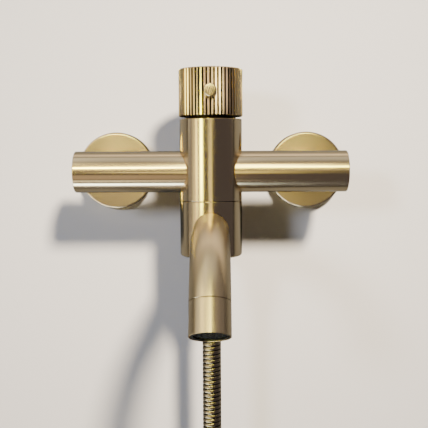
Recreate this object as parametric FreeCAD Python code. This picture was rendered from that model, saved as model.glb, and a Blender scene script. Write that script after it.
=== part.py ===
"""Exposed bath mixer for wall mounting, with a swivelling spout and a shower hose.

Millimetres. The origin lies on the wall plane, midway between the two inlets.
+X points right, +Z up, and the mixer stands out of the wall along -Y.
"""
import FreeCAD, Part
import math
import os

from FreeCAD import Placement, Rotation, Vector

# Directions
RIGHT = Vector(1, 0, 0)
BACK = Vector(0, 1, 0)
FRONT = Vector(0, -1, 0)
UP = Vector(0, 0, 1)
DOWN = Vector(0, 0, -1)

# Fits
braze_gap = 0.05            # between two brazed or pressed faces
thread_gap = 0.05           # between an outer and an inner thread, as plain cylinders
running_gap = 0.05          # radial play of a part that turns or slides
seat_gap = 0.05             # between two faces that are screwed together

# Overall layout
inlet_spacing = 150.0
axis_from_wall = 60.0
edge_chamfer = 0.4

# Wall unions, flanges and nuts
wall_thread_r = 10.475      # G1/2, outside radius
wall_thread_depth = 14.0    # how far the union screws into the wall
union_shank_r = 11.6        # between the threads; its shoulder is at the wall
union_thread_r = 13.22      # G3/4, outside radius
union_thread_length = 12.0
union_bore_r = 7.5
union_key_flats = 16.0      # hexagon socket for fitting the union
union_key_depth = 8.0
union_end_from_wall = 20.0
flange_r = 30.0
flange_depth = 9.0
flange_wall = 1.5
flange_collar_depth = 6.0
flange_collar_wall = 2.0
flange_play = 0.15          # between the flange's hole and the union's thread
flange_chamfer = 0.7
flange_seal_width = 2.2
flange_seal_depth = 1.8
nut_flats = 30.0
nut_lip = 4.2
nut_overlap = 8.5           # of the nut over the union's thread
nut_chamfer = 1.2
nut_turns = (4.0, 21.0)     # how each nut happens to stand, left and right, in degrees

# Washers with strainers between the unions and the inlet tails
washer_thickness = 2.0
washer_r = 12.4
washer_bore_r = 8.0
strainer_thickness = 0.6
strainer_hole_r = 0.9
strainer_ring_pitch = 2.6
strainer_ring_count = 3

# Inlet tails
tail_flange_r = 12.2
tail_flange_depth = 3.0
tail_r = 10.0
tail_bore_r = 7.6
tail_outlet_r = 6.0
tail_shoulder_depth = 20.0

# Non-return valves in the inlet tails
valve_case_length = 17.0
valve_inlet_r = 4.6
valve_inlet_length = 3.0
valve_case_bore_r = 6.4
valve_guide_length = 3.0
valve_guide_slot_r = 1.5
valve_guide_slot_circle_r = 4.1
valve_guide_slots = 4
poppet_r = 5.6
poppet_thickness = 2.0
poppet_stem_r = 1.3
spring_wire_r = 0.35
spring_coil_r = 3.3
spring_turns = 4

# Arms
arm_r = 14.8
arm_span = 195.0
arm_bore_r = 10.0
arm_web = 4.0               # solid part of the arm outside the body
arm_spigot_r = 11.0
arm_spigot_depth = 6.0
arm_waterway_r = 5.5
end_cap_r = 13.2
end_cap_thickness = 4.0

# Upper body
body_r = 22.25
body_top = 37.3
body_bottom = -20.4
body_nut_thread_r = 19.0
body_nut_thread_length = 6.8
socket_thread_r = 13.0
socket_depth = 10.3
port_r = 3.6
port_circle_r = 9.0

# Cartridge, of the kind that opens to cold and then turns on to hot
cartridge_floor = 12.0
cartridge_r = 17.5
gasket_r = 16.5
gasket_thickness = 1.2
base_thickness = 4.5
fixed_disc_r = 14.5
fixed_disc_thickness = 3.5
moving_disc_r = 13.4
moving_disc_thickness = 3.5
disc_port_apart = 55.0      # degrees between the discs' cold and hot ports
disc_closed_lap = 5.0       # degrees that the knob turns before the cold port opens
disc_chamber_depth = 1.6
base_channel_depth = 2.4
case_wall = 2.3
case_top = 30.5
case_top_thickness = 2.6
case_neck_r = 9.0
case_neck_height = 5.0
stem_plate_thickness = 2.0
stem_plate_r = 12.4
stem_lug_r = 14.4
stem_lug_angle = 20.0
stem_r = 6.0
stem_square = 8.0
stem_round_top = 38.0
stem_below_core_top = 4.0
stem_seal_groove_r = 4.6
stem_seal_wire_r = 0.68
stem_seal_wire_circle_r = 5.3
stem_seal_from_top = 3.0
drive_tab_width = 4.0
drive_tab_height = 1.0
drive_tab_root = 0.5        # of the stem's plate that each tab runs into
drive_tab_circle_r = 9.5
knob_turn = 110.0           # from closed to full hot
stop_play = 2.0             # degrees of free play at each stop

# Cartridge nut, whose neck shows in the gap under the knob
cartridge_nut_bore_r = 12.0
neck_r = 18.0
neck_height = 3.5
neck_flats = 31.0
neck_flats_height = 4.0

# Knob
knob_r = 22.8
knob_gap = 1.9
knob_height = 33.2
knob_chamfer = 0.6
flute_count = 54
flute_depth = 0.95
flute_share = 0.42          # of the pitch
flute_floor_share = 0.5     # of the flute's mouth
flute_end_slope = 0.8       # how far a flute's floor runs out at the bottom edge
knob_skirt_r = 19.4
knob_skirt_depth = 7.8
knob_core_r = 11.0
knob_core_top = 66.0
insert_length = 17.5
insert_chamfer = 0.5
grub_r = 2.0
grub_length = 9.0
grub_key_flats = 2.0
grub_key_depth = 2.2

# Lever pin
pin_r = 4.35
pin_reach = 21.5            # beyond the knob's surface
pin_height = 54.4
pin_seat_depth = 1.5
pin_play = 0.06
pin_chamfer = 0.5
pin_thread_r = 2.5
pin_thread_length = 8.0

# Spout hub, the swivelling lower body
hub_gap = 0.5
hub_bottom = -60.5
hub_bottom_round = 1.8
hub_counterbore_r = 16.6
hub_counterbore_depth = 5.0
hub_duct_r = 6.0
hub_duct_height = -38.0
hub_pocket_depth = 2.6
hub_pocket_r = 4.2

# Outlet column, which the hub turns on
column_r = 11.5
column_feed_r = 7.0
column_feed_bottom = -43.0
column_web = 2.0
column_window_r = 4.4
column_shower_window_r = 2.5
column_shower_window_height = -48.0
column_nut_thread_r = 11.0
column_bottom = -72.0
shower_thread_length = 10.5
shower_bore_r = 6.0
column_seal_heights = (-26.0, -53.0)
column_seal_wire_r = 0.95
slip_ring_r = 18.0
slip_ring_thickness = 0.4
lower_slip_thickness = 0.8
hub_nut_r = 16.0
hub_nut_thickness = 3.6
hub_nut_notch_width = 3.0
hub_nut_notch_depth = 1.6
hub_nut_notches = 4

# Spout
spout_r = 12.0
spout_bore_r = 10.5
spout_height = -40.7
spout_socket_depth = 6.8    # how deep the tube sits behind the hub's front
spout_bend_from_wall = 136.0
spout_bend_r = 53.5
spout_bend_angle = 63.0
spout_seam_chamfer = 0.25
collar_length = 19.9
collar_spigot_r = 10.3
collar_spigot_length = 3.5
collar_throat_r = 8.5
collar_rim_r = 11.35
collar_recess_depth = 12.0

# Aerator
aerator_setback = 0.4
aerator_case_length = 9.5
aerator_core_r = 9.4
aerator_core_setback = 0.8
aerator_lip_r = 8.6
aerator_lip_length = 1.0
aerator_seal_bore_r = 8.7
aerator_hole_r = 0.75
aerator_ring_pitch = 2.55
aerator_ring_count = 4

# Shower hose
hose_r = 6.8
hose_bore_r = 4.0
hose_groove_r = 6.05
hose_rib_pitch = 3.16
hose_rib_count = 31
hose_crest_share = 0.5
hose_slope_share = 0.17
hose_nut_r = 12.0
hose_nut_neck_r = 9.2
hose_nut_length = 25.0
hose_nut_grip_length = 11.0
hose_nut_thread_depth = 12.0
hose_nut_grooves = 24
hose_nut_groove_r = 0.6
hose_nut_groove_out = 0.2   # how far the grooves' centres lie outside the grip
hose_nut_seat_r = 10.1      # round the washer and the tail's flange
hose_washer_r = 9.6
hose_washer_thickness = 2.0
hose_tail_flange_r = 9.9
hose_tail_flange = 2.6
hose_tail_r = 7.2
hose_tail_bore_r = 4.0
ferrule_r = 8.0
ferrule_length = 8.0
hose_tail_neck = 13.0
coil_r = 69.0
coil_pitch = 14.5
coil_lead_angle = 60.0
coil_quarters = 12
coil_end_straight = 45.0
coil_gap_step = 3.0         # spacing of the points on which the gap is measured
tie_width = 10.0
tie_thickness = 1.2
tie_play = 0.35
tie_angles = (125.0, 305.0)     # round the coil, from its right side

# Places worked out from the sizes above
axis_y = -axis_from_wall
body_axis = Vector(0, axis_y, 0)
hub_top = body_bottom - hub_gap
knob_bottom = body_top + knob_gap
knob_top = knob_bottom + knob_height
stem_top = knob_core_top - stem_below_core_top
disc_seat = cartridge_floor + gasket_thickness + base_thickness
disc_face = disc_seat + fixed_disc_thickness
port_half = math.degrees(math.asin((port_r + running_gap) / port_circle_r))
cold_angle = 90 - disc_port_apart / 2
hot_angle = 90 + disc_port_apart / 2
nut_front = union_end_from_wall + washer_thickness + tail_flange_depth + nut_lip
nut_back = union_end_from_wall - nut_overlap
tail_face = union_end_from_wall + washer_thickness
tail_end = axis_from_wall - arm_bore_r - seat_gap
spout_bend_centre = Vector(0, -spout_bend_from_wall, spout_height - spout_bend_r)
coil_rise = coil_pitch / (2 * math.pi)
coil_lead_shift = coil_rise * math.radians(coil_lead_angle) / 2
bend = math.radians(spout_bend_angle)
spout_way = Vector(0, -math.cos(bend), -math.sin(bend))
spout_seam = spout_bend_centre + Vector(0, -math.sin(bend), math.cos(bend)) * spout_bend_r

made = []


def save(node, shape):
    """Write one node's solids and remember it."""
    solids = shape.Solids
    if not solids or not shape.isValid():
        raise ValueError(f"{node} is not a valid solid")
    out = solids[0] if len(solids) == 1 else Part.makeCompound(solids)
    out.exportStep(f"parts/{node}.step")
    made.append(node)
    print(f"{node:26s} solids {len(solids)}  volume {out.Volume:10.1f} mm3")


def placed(shape, base, way):
    """Copy of a shape drawn up the Z axis, set on base and pointing along way."""
    copy = shape.copy()
    copy.Placement = Placement(base, Rotation(UP, way)).multiply(shape.Placement)
    return copy


def turned(profile, base=body_axis, way=UP):
    """Solid turned about the line through base along way, from (radius, height) pairs."""
    points = [Vector(radius, 0, height) for radius, height in profile]
    face = Part.Face(Part.makePolygon(points + points[:1]))
    solid = face.revolve(Vector(), UP, 360)
    if solid.Volume < 0:
        solid.reverse()
    return placed(Part.Solid(solid) if solid.ShapeType != "Solid" else solid, base, way)


def ring(outer, inner, low, high, base=body_axis, way=UP):
    """Plain ring between two heights."""
    return turned([(inner, low), (outer, low), (outer, high), (inner, high)], base, way)


def rod(radius, start, way, length):
    """Plain cylinder from a point along a direction."""
    return Part.makeCylinder(radius, length, start, way)


def hexagon(flats, low, high, turn=0.0, base=body_axis, way=UP):
    """Six-sided bar between two heights, given by its size across the flats."""
    corner = flats / math.sqrt(3)
    angles = [math.radians(turn + 60 * k) for k in range(7)]
    points = [Vector(corner * math.cos(a), corner * math.sin(a), low) for a in angles]
    bar = Part.Face(Part.makePolygon(points)).extrude(Vector(0, 0, high - low))
    return placed(bar, base, way)


def square_bar(side, low, high, base=body_axis):
    """Square bar about a vertical axis."""
    corner = Vector(-side / 2, -side / 2, low) + base
    return Part.makeBox(side, side, high - low, corner)


def round_the_axis(shape, angle, base=body_axis, way=UP):
    """Copy of a shape turned about a line by an angle in degrees."""
    copy = shape.copy()
    copy.rotate(base, way, angle)
    return copy


def hole_circle(circle_r, count, hole_r, low, high, base=body_axis, way=UP):
    """Cutters for holes evenly round one circle."""
    cutters = []
    for k in range(count):
        angle = 2 * math.pi * k / count
        foot = Vector(circle_r * math.cos(angle), circle_r * math.sin(angle), low)
        cutters.append(placed(rod(hole_r, foot, UP, high - low), base, way))
    return cutters


def hole_rings(pitch, ring_count, hole_r, low, high, base=body_axis, way=UP):
    """Cutters for one hole in the middle and rings of 6, 12, 18 and so on round it."""
    cutters = hole_circle(0, 1, hole_r, low, high, base, way)
    for k in range(1, ring_count):
        cutters += hole_circle(k * pitch, 6 * k, hole_r, low, high, base, way)
    return cutters


def at_side(side):
    """Point on the wall plane behind one inlet; side is -1 for left and 1 for right."""
    return Vector(side * inlet_spacing / 2, 0, 0)


def make_wall_union(side):
    """Brass union that screws into the wall and takes the union nut."""
    thread_start = union_end_from_wall - union_thread_length
    body = turned([
        (0, -wall_thread_depth), (wall_thread_r - edge_chamfer, -wall_thread_depth),
        (wall_thread_r, -wall_thread_depth + edge_chamfer), (wall_thread_r, 0),
        (union_shank_r, 0), (union_shank_r, thread_start),
        (union_thread_r, thread_start), (union_thread_r, union_end_from_wall - edge_chamfer),
        (union_thread_r - edge_chamfer, union_end_from_wall), (0, union_end_from_wall),
    ], at_side(side), FRONT)
    bore = rod(union_bore_r, at_side(side) + BACK * (wall_thread_depth + 1), FRONT,
               wall_thread_depth + union_end_from_wall + 2)
    key = hexagon(union_key_flats, union_end_from_wall - union_key_depth,
                  union_end_from_wall + 1, 0, at_side(side), FRONT)
    return body.cut([bore, key])


def make_flange(side):
    """Hollow round cover on the wall, with a collar that guides it on the union."""
    hole_r = union_thread_r + flange_play
    collar_r = hole_r + flange_collar_wall
    inside = flange_depth - flange_wall
    return turned([
        (flange_r - flange_wall, 0), (flange_r, 0), (flange_r, flange_depth - flange_chamfer),
        (flange_r - flange_chamfer, flange_depth), (hole_r, flange_depth),
        (hole_r, inside - flange_collar_depth), (collar_r, inside - flange_collar_depth),
        (collar_r, inside), (flange_r - flange_wall, inside),
    ], at_side(side), FRONT)


def make_flange_seal(side):
    """Soft ring inside the flange's rim, against the wall."""
    outer = flange_r - flange_wall - seat_gap
    return ring(outer, outer - flange_seal_width, 0, flange_seal_depth, at_side(side), FRONT)


def make_union_nut(side):
    """Hexagon nut that pulls the inlet tail onto the union."""
    turn = nut_turns[0 if side < 0 else 1]
    corner = nut_flats / math.sqrt(3)
    bar = hexagon(nut_flats, nut_back, nut_front, turn, at_side(side), FRONT)
    turning = turned([
        (0, nut_back), (corner - nut_chamfer, nut_back), (corner + 1, nut_back + nut_chamfer),
        (corner + 1, nut_front - nut_chamfer), (corner - nut_chamfer, nut_front), (0, nut_front),
    ], at_side(side), FRONT)
    lip_face = nut_front - nut_lip + seat_gap
    thread = rod(union_thread_r + thread_gap, at_side(side) + FRONT * (nut_back - 1), FRONT,
                 lip_face - nut_back + 1)
    hole = rod(tail_r + 2 * running_gap, at_side(side) + FRONT * nut_back, FRONT,
               nut_front - nut_back + 1)
    return bar.common(turning).cut([thread, hole])


def make_strainer_washer(side):
    """Rubber washer with a fine strainer across its hole."""
    low = union_end_from_wall + seat_gap
    high = tail_face - seat_gap
    middle = (low + high) / 2
    half = strainer_thickness / 2
    body = turned([
        (0, middle - half), (washer_bore_r, middle - half), (washer_bore_r, low),
        (washer_r, low), (washer_r, high), (washer_bore_r, high),
        (washer_bore_r, middle + half), (0, middle + half),
    ], at_side(side), FRONT)
    holes = hole_rings(strainer_ring_pitch, strainer_ring_count, strainer_hole_r, low, high,
                       at_side(side), FRONT)
    return body.cut(holes)


def make_inlet_tail(side):
    """Flanged tail brazed into the arm's back, bored for the non-return valve."""
    shoulder = tail_face + tail_shoulder_depth
    return turned([
        (tail_bore_r, tail_face), (tail_flange_r, tail_face),
        (tail_flange_r, tail_face + tail_flange_depth), (tail_r, tail_face + tail_flange_depth),
        (tail_r, tail_end), (tail_outlet_r, tail_end), (tail_outlet_r, shoulder),
        (tail_bore_r, shoulder),
    ], at_side(side), FRONT)


def make_valve_case(side):
    """Plastic case of the non-return valve: an inlet seat, a chamber and a stem guide."""
    low = tail_face + seat_gap
    high = low + valve_case_length
    case_r = tail_bore_r - running_gap
    seat = low + valve_inlet_length
    guide = high - valve_guide_length
    case = turned([
        (valve_inlet_r, low), (case_r, low), (case_r, high),
        (poppet_stem_r + running_gap, high), (poppet_stem_r + running_gap, guide),
        (valve_case_bore_r, guide), (valve_case_bore_r, seat), (valve_inlet_r, seat),
    ], at_side(side), FRONT)
    slots = hole_circle(valve_guide_slot_circle_r, valve_guide_slots, valve_guide_slot_r,
                        guide - 1, high + 1, at_side(side), FRONT)
    return case.cut(slots)


def make_poppet(side):
    """Plastic poppet that closes the valve's inlet and slides in its guide."""
    seat = tail_face + seat_gap + valve_inlet_length + seat_gap
    end = tail_face + valve_case_length + 1
    return turned([
        (0, seat), (poppet_r, seat), (poppet_r, seat + poppet_thickness),
        (poppet_stem_r, seat + poppet_thickness), (poppet_stem_r, end), (0, end),
    ], at_side(side), FRONT)


def unit(vector):
    """Same direction, with a length of one."""
    return vector * (1 / vector.Length)


def arc_from(start, way, end):
    """Arc that leaves start along way and runs to end, less than half a turn."""
    chord = end - start
    across = chord - way * chord.dot(way)
    across = unit(across)
    radius = chord.dot(chord) / (2 * chord.dot(across))
    centre = start + across * radius
    middle = centre + unit((start + end) * 0.5 - centre) * radius
    return Part.Arc(start, middle, end).toShape()


def biarc(start, start_way, end, end_way):
    """Two arcs that meet smoothly and join two points with given directions."""
    chord = end - start
    both = start_way + end_way
    spread = 2 * (1 - start_way.dot(end_way))
    along = chord.dot(both)
    reach = (math.sqrt(along * along + spread * chord.dot(chord)) - along) / spread
    joint = (start + end + (start_way - end_way) * reach) * 0.5
    joint_way = unit((end - end_way * reach) - (start + start_way * reach))
    return [arc_from(start, start_way, joint), arc_from(joint, joint_way, end)]


def swept(edges, radius, start, way):
    """Round bar along a path of tangent edges."""
    circle = Part.Wire([Part.makeCircle(radius, start, way)])
    return Part.Wire(edges).makePipeShell([circle], True, False)


def make_valve_spring(side):
    """Closing spring of the non-return valve, wound round the poppet's stem."""
    seat = tail_face + 2 * seat_gap + valve_inlet_length
    low = seat + poppet_thickness + spring_wire_r + seat_gap
    high = tail_face + seat_gap + valve_case_length - valve_guide_length
    high = high - spring_wire_r - seat_gap
    rise = (high - low) / (2 * math.pi * spring_turns)
    stations = []
    for quarter in range(4 * spring_turns + 1):
        a = quarter * math.pi / 2
        point = Vector(spring_coil_r * math.cos(a), spring_coil_r * math.sin(a), low + rise * a)
        way = unit(Vector(-spring_coil_r * math.sin(a), spring_coil_r * math.cos(a), rise))
        stations.append((point, way))
    edges = []
    for (start, start_way), (end, end_way) in zip(stations, stations[1:]):
        edges += biarc(start, start_way, end, end_way)
    wound = swept(edges, spring_wire_r, stations[0][0], stations[0][1])
    return placed(wound, at_side(side), FRONT)


def make_arm(side):
    """Round arm with its waterway, saddled to the body and ported at the back."""
    outward = RIGHT * side
    half_span = arm_span / 2
    bar = turned([
        (0, 0), (arm_r, 0), (arm_r, half_span - edge_chamfer),
        (arm_r - edge_chamfer, half_span), (0, half_span),
    ], body_axis, outward)
    saddle = rod(body_r + braze_gap, body_axis + DOWN * 2 * arm_r, UP, 4 * arm_r)
    spigot_start = body_r - arm_spigot_depth
    spigot = rod(arm_spigot_r, body_axis + outward * spigot_start, outward,
                 arm_spigot_depth + arm_web)
    web_end = body_r + arm_web
    bore = rod(arm_bore_r, body_axis + outward * web_end, outward, half_span)
    waterway = rod(arm_waterway_r, body_axis, outward, web_end + 1)
    cap_seat = rod(end_cap_r + braze_gap, body_axis + outward * (half_span - end_cap_thickness),
                   outward, end_cap_thickness + 1)
    port = rod(tail_r + braze_gap, at_side(side) + FRONT * axis_from_wall, BACK, 2 * arm_r)
    return bar.cut(saddle).fuse(spigot).cut([bore, waterway, cap_seat, port])


def make_end_cap(side):
    """Disc that closes the arm's outer end."""
    outer = arm_span / 2
    inner = outer - end_cap_thickness + seat_gap
    return turned([
        (0, inner), (end_cap_r, inner), (end_cap_r, outer - edge_chamfer / 2),
        (end_cap_r - edge_chamfer / 2, outer), (0, outer),
    ], body_axis, RIGHT * side)


def port_cutters(angles, low, high):
    """Cutters for the mixed water's port in the middle and the inlets' ports round it."""
    cutters = [rod(port_r, body_axis + UP * low, UP, high - low)]
    for angle in angles:
        place = round_the_axis(Part.Vertex(body_axis + RIGHT * port_circle_r), angle).Point
        cutters.append(rod(port_r, place + UP * low, UP, high - low))
    return cutters


def make_mixer_body():
    """Upper body: cartridge seat above, arm sockets at the sides, column socket below.

    Hot water comes in at the left and cold at the right; mixed water leaves down the middle.
    """
    body = turned([
        (0, body_bottom), (body_r - edge_chamfer, body_bottom),
        (body_r, body_bottom + edge_chamfer), (body_r, body_top - edge_chamfer),
        (body_r - edge_chamfer, body_top), (0, body_top),
    ])
    thread_low = body_top - body_nut_thread_length
    cutters = [
        rod(cartridge_r + running_gap, body_axis + UP * cartridge_floor, UP, body_top),
        rod(body_nut_thread_r, body_axis + UP * thread_low, UP, body_top),
        rod(socket_thread_r, body_axis + UP * (body_bottom - 1), UP, socket_depth + 1),
    ]
    socket_end = body_r - arm_spigot_depth - seat_gap
    _, cold, hot = port_cutters((0, 180), 0, cartridge_floor + 1)
    mixed = rod(port_r, body_axis + UP * body_bottom, UP, cartridge_floor - body_bottom + 1)
    for side in (-1, 1):
        outward = RIGHT * side
        reach = socket_end - port_circle_r + port_r / 2
        cutters.append(rod(arm_spigot_r + braze_gap, body_axis + outward * socket_end,
                           outward, body_r))
        cutters.append(rod(arm_waterway_r, body_axis + outward * (socket_end + 1),
                           -outward, reach + 1))
    return body.cut(cutters + [mixed, cold, hot])


def ring_sector(inner, outer, low, high, start, sweep):
    """Ring sector between two heights, from a start angle through a sweep in degrees."""
    points = [Vector(inner, 0, low), Vector(outer, 0, low), Vector(outer, 0, high),
              Vector(inner, 0, high)]
    face = Part.Face(Part.makePolygon(points + points[:1]))
    solid = face.revolve(Vector(), UP, sweep)
    if solid.Volume < 0:
        solid.reverse()
    return round_the_axis(placed(solid, body_axis, UP), start)


def make_port_gasket():
    """Rubber gasket between the body's floor and the cartridge, with the three ports."""
    low = cartridge_floor + seat_gap
    high = cartridge_floor + gasket_thickness
    plate = turned([(0, low), (gasket_r, low), (gasket_r, high), (0, high)])
    return plate.cut(port_cutters((0, 180), low - 1, high + 1))


def make_cartridge_base():
    """Plastic foot of the cartridge, with channels from the body's ports to the discs'."""
    low = cartridge_floor + gasket_thickness + seat_gap
    plate = turned([
        (0, low), (cartridge_r - edge_chamfer, low), (cartridge_r, low + edge_chamfer),
        (cartridge_r, disc_seat), (0, disc_seat),
    ])
    cutters = port_cutters((0, 180), low - 1, disc_seat + 1)
    for start, end in ((0, cold_angle), (hot_angle, 180)):
        cutters.append(ring_sector(port_circle_r - port_r, port_circle_r + port_r,
                                   disc_seat - base_channel_depth, disc_seat + 1,
                                   start - port_half, end - start + 2 * port_half))
    return plate.cut(cutters)


def make_fixed_disc():
    """Fixed ceramic disc with the three ports."""
    low = disc_seat + seat_gap
    plate = turned([(0, low), (fixed_disc_r, low), (fixed_disc_r, disc_face), (0, disc_face)])
    return plate.cut(port_cutters((cold_angle, hot_angle), low - 1, disc_face + 1))


def drive_tabs(play):
    """Two square tabs by which the stem turns the moving disc."""
    top = disc_face + running_gap + moving_disc_thickness
    width = drive_tab_width + 2 * play
    tabs = []
    for side in (-1, 1):
        centre = body_axis + RIGHT * side * drive_tab_circle_r
        corner = centre + Vector(-width / 2, -width / 2, top - drive_tab_height - play)
        tabs.append(Part.makeBox(width, width, drive_tab_height + play + 1, corner))
    return tabs


def make_moving_disc():
    """Moving ceramic disc: a chamber below joins the inlets to the middle port.

    At rest the chamber stops short of the cold port. A full turn of the knob takes it past
    the cold port and over the hot one.
    """
    low = disc_face + running_gap
    high = low + moving_disc_thickness
    plate = turned([(0, low), (moving_disc_r, low), (moving_disc_r, high), (0, high)])
    middle = rod(port_r, body_axis + UP * (low - 1), UP, disc_chamber_depth + 1)
    closed_edge = cold_angle - port_half - disc_closed_lap
    chamber = ring_sector(0, port_circle_r + port_r, low - 1, low + disc_chamber_depth,
                          closed_edge - disc_port_apart, disc_port_apart)
    return plate.cut([chamber.fuse(middle)] + drive_tabs(running_gap))


def make_cartridge_case():
    """Plastic case over the discs, with a neck for the stem and a rib that stops it."""
    inner = cartridge_r - case_wall
    under_top = case_top - case_top_thickness
    neck_top = case_top + case_neck_height
    case = turned([
        (inner, disc_seat + seat_gap), (cartridge_r, disc_seat + seat_gap),
        (cartridge_r, case_top), (case_neck_r, case_top), (case_neck_r, neck_top),
        (stem_r + running_gap, neck_top), (stem_r + running_gap, under_top),
        (inner, under_top),
    ])
    free = knob_turn + stem_lug_angle + 2 * stop_play
    stop = ring_sector(stem_plate_r + 4 * running_gap, inner + 1,
                       disc_face + moving_disc_thickness + 2 * running_gap, under_top + 1,
                       90 - stem_lug_angle / 2 - stop_play + free, 360 - free)
    return case.fuse(stop)


def make_stem():
    """Brass stem: a drive plate with its stop lug, a round shank and a square top."""
    low = disc_face + moving_disc_thickness + 2 * running_gap
    high = low + stem_plate_thickness
    seal = case_top + case_neck_height - stem_seal_from_top
    half = stem_seal_wire_r + running_gap
    body = turned([
        (0, low), (stem_plate_r, low), (stem_plate_r, high), (stem_r, high),
        (stem_r, seal - half), (stem_seal_groove_r, seal - half),
        (stem_seal_groove_r, seal + half), (stem_r, seal + half),
        (stem_r, stem_round_top), (0, stem_round_top),
    ])
    lug = ring_sector(stem_plate_r - 1, stem_lug_r, low, high,
                      90 - stem_lug_angle / 2, stem_lug_angle)
    square = square_bar(stem_square, stem_round_top - 1, stem_top)
    return body.fuse([lug, square] + [
        tab.common(rod(stem_plate_r, body_axis, UP, low + drive_tab_root))
        for tab in drive_tabs(0)
    ])


def make_stem_seal():
    """O-ring in the stem's groove."""
    height = case_top + case_neck_height - stem_seal_from_top
    return Part.makeTorus(stem_seal_wire_circle_r, stem_seal_wire_r, body_axis + UP * height)


def make_cartridge_nut():
    """Ring nut that holds the cartridge; its neck shows in the gap under the knob."""
    low = case_top + seat_gap
    thread_r = body_nut_thread_r - thread_gap
    neck_top = body_top + neck_height
    nut = turned([
        (cartridge_nut_bore_r, low), (thread_r, low), (thread_r, body_top - edge_chamfer),
        (neck_r, body_top - edge_chamfer), (neck_r, neck_top),
        (cartridge_nut_bore_r, neck_top),
    ])
    spanner = hexagon(neck_flats, neck_top - 1, neck_top + neck_flats_height)
    bore = rod(cartridge_nut_bore_r, body_axis + UP * low, UP, 2 * body_top)
    return nut.fuse(spanner.cut(bore))


def knob_outline():
    """Fluted outline of the knob: round lands with flat-bottomed grooves between them."""
    pitch = 2 * math.pi / flute_count
    mouth = pitch * flute_share
    floor = mouth * flute_floor_share
    floor_r = knob_r - flute_depth

    def at(radius, angle):
        return Vector(radius * math.cos(angle), radius * math.sin(angle), 0)

    edges = []
    for k in range(flute_count):
        centre = k * pitch + math.pi / 2
        mouth_start = at(knob_r, centre - mouth / 2)
        floor_start = at(floor_r, centre - floor / 2)
        floor_end = at(floor_r, centre + floor / 2)
        mouth_end = at(knob_r, centre + mouth / 2)
        land_middle = at(knob_r, centre + pitch / 2)
        next_mouth = at(knob_r, centre + pitch - mouth / 2)
        edges.append(Part.makeLine(mouth_start, floor_start))
        edges.append(Part.makeLine(floor_start, floor_end))
        edges.append(Part.makeLine(floor_end, mouth_end))
        edges.append(Part.Arc(mouth_end, land_middle, next_mouth).toShape())
    return Part.Wire(edges)


def make_knob():
    """Fluted knob with a hollow skirt over the neck and a core for the stem's insert."""
    blank = Part.Face(knob_outline()).extrude(UP * knob_height)
    blank = placed(blank, body_axis + UP * knob_bottom, UP)
    turning = turned([
        (0, knob_bottom), (knob_r - flute_end_slope, knob_bottom),
        (knob_r + 1, knob_bottom + flute_end_slope + 1), (knob_r + 1, knob_top - knob_chamfer - 1),
        (knob_r - knob_chamfer, knob_top), (0, knob_top),
    ])
    reach = 2 * knob_r
    screw_from = stem_square / 2
    cutters = [
        rod(knob_skirt_r, body_axis + UP * (knob_bottom - 1), UP, knob_skirt_depth + 1),
        rod(knob_core_r, body_axis + UP * knob_bottom, UP, knob_core_top - knob_bottom),
        rod(pin_r + pin_play, body_axis + UP * pin_height
            + FRONT * (knob_r - pin_seat_depth), FRONT, reach),
        rod(pin_thread_r + thread_gap, body_axis + UP * pin_height
            + FRONT * (knob_r - pin_seat_depth - pin_thread_length - 1), FRONT, reach),
        rod(grub_r + thread_gap, body_axis + UP * pin_height + BACK * screw_from, BACK, reach),
    ]
    return blank.common(turning).cut(cutters)


def make_knob_insert():
    """Bush in the knob's core with the square hole for the stem."""
    high = knob_core_top - seat_gap
    low = high - insert_length
    outer = knob_core_r - braze_gap
    bush = turned([
        (0, low), (outer - insert_chamfer, low), (outer, low + insert_chamfer),
        (outer, high), (0, high),
    ])
    square = square_bar(stem_square + 2 * braze_gap, low - 1, stem_top + seat_gap)
    screw = rod(grub_r + thread_gap, body_axis + UP * pin_height, BACK, 2 * knob_core_r)
    return bush.cut([square, screw])


def make_grub_screw():
    """Socket screw at the back of the knob that clamps the stem."""
    start = body_axis + UP * pin_height + BACK * (stem_square / 2 + seat_gap)
    screw = rod(grub_r, start, BACK, grub_length)
    key = hexagon(grub_key_flats, grub_length - grub_key_depth, grub_length + 1, 0, start, BACK)
    return screw.cut(key)


def make_lever_pin():
    """Round lever pin, screwed into the front of the knob."""
    seat = knob_r - pin_seat_depth + seat_gap
    end = knob_r + pin_reach
    base = body_axis + UP * pin_height
    return turned([
        (0, seat - pin_thread_length), (pin_thread_r, seat - pin_thread_length),
        (pin_thread_r, seat), (pin_r, seat), (pin_r, end - pin_chamfer),
        (pin_r - pin_chamfer, end), (0, end),
    ], base, FRONT)


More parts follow.
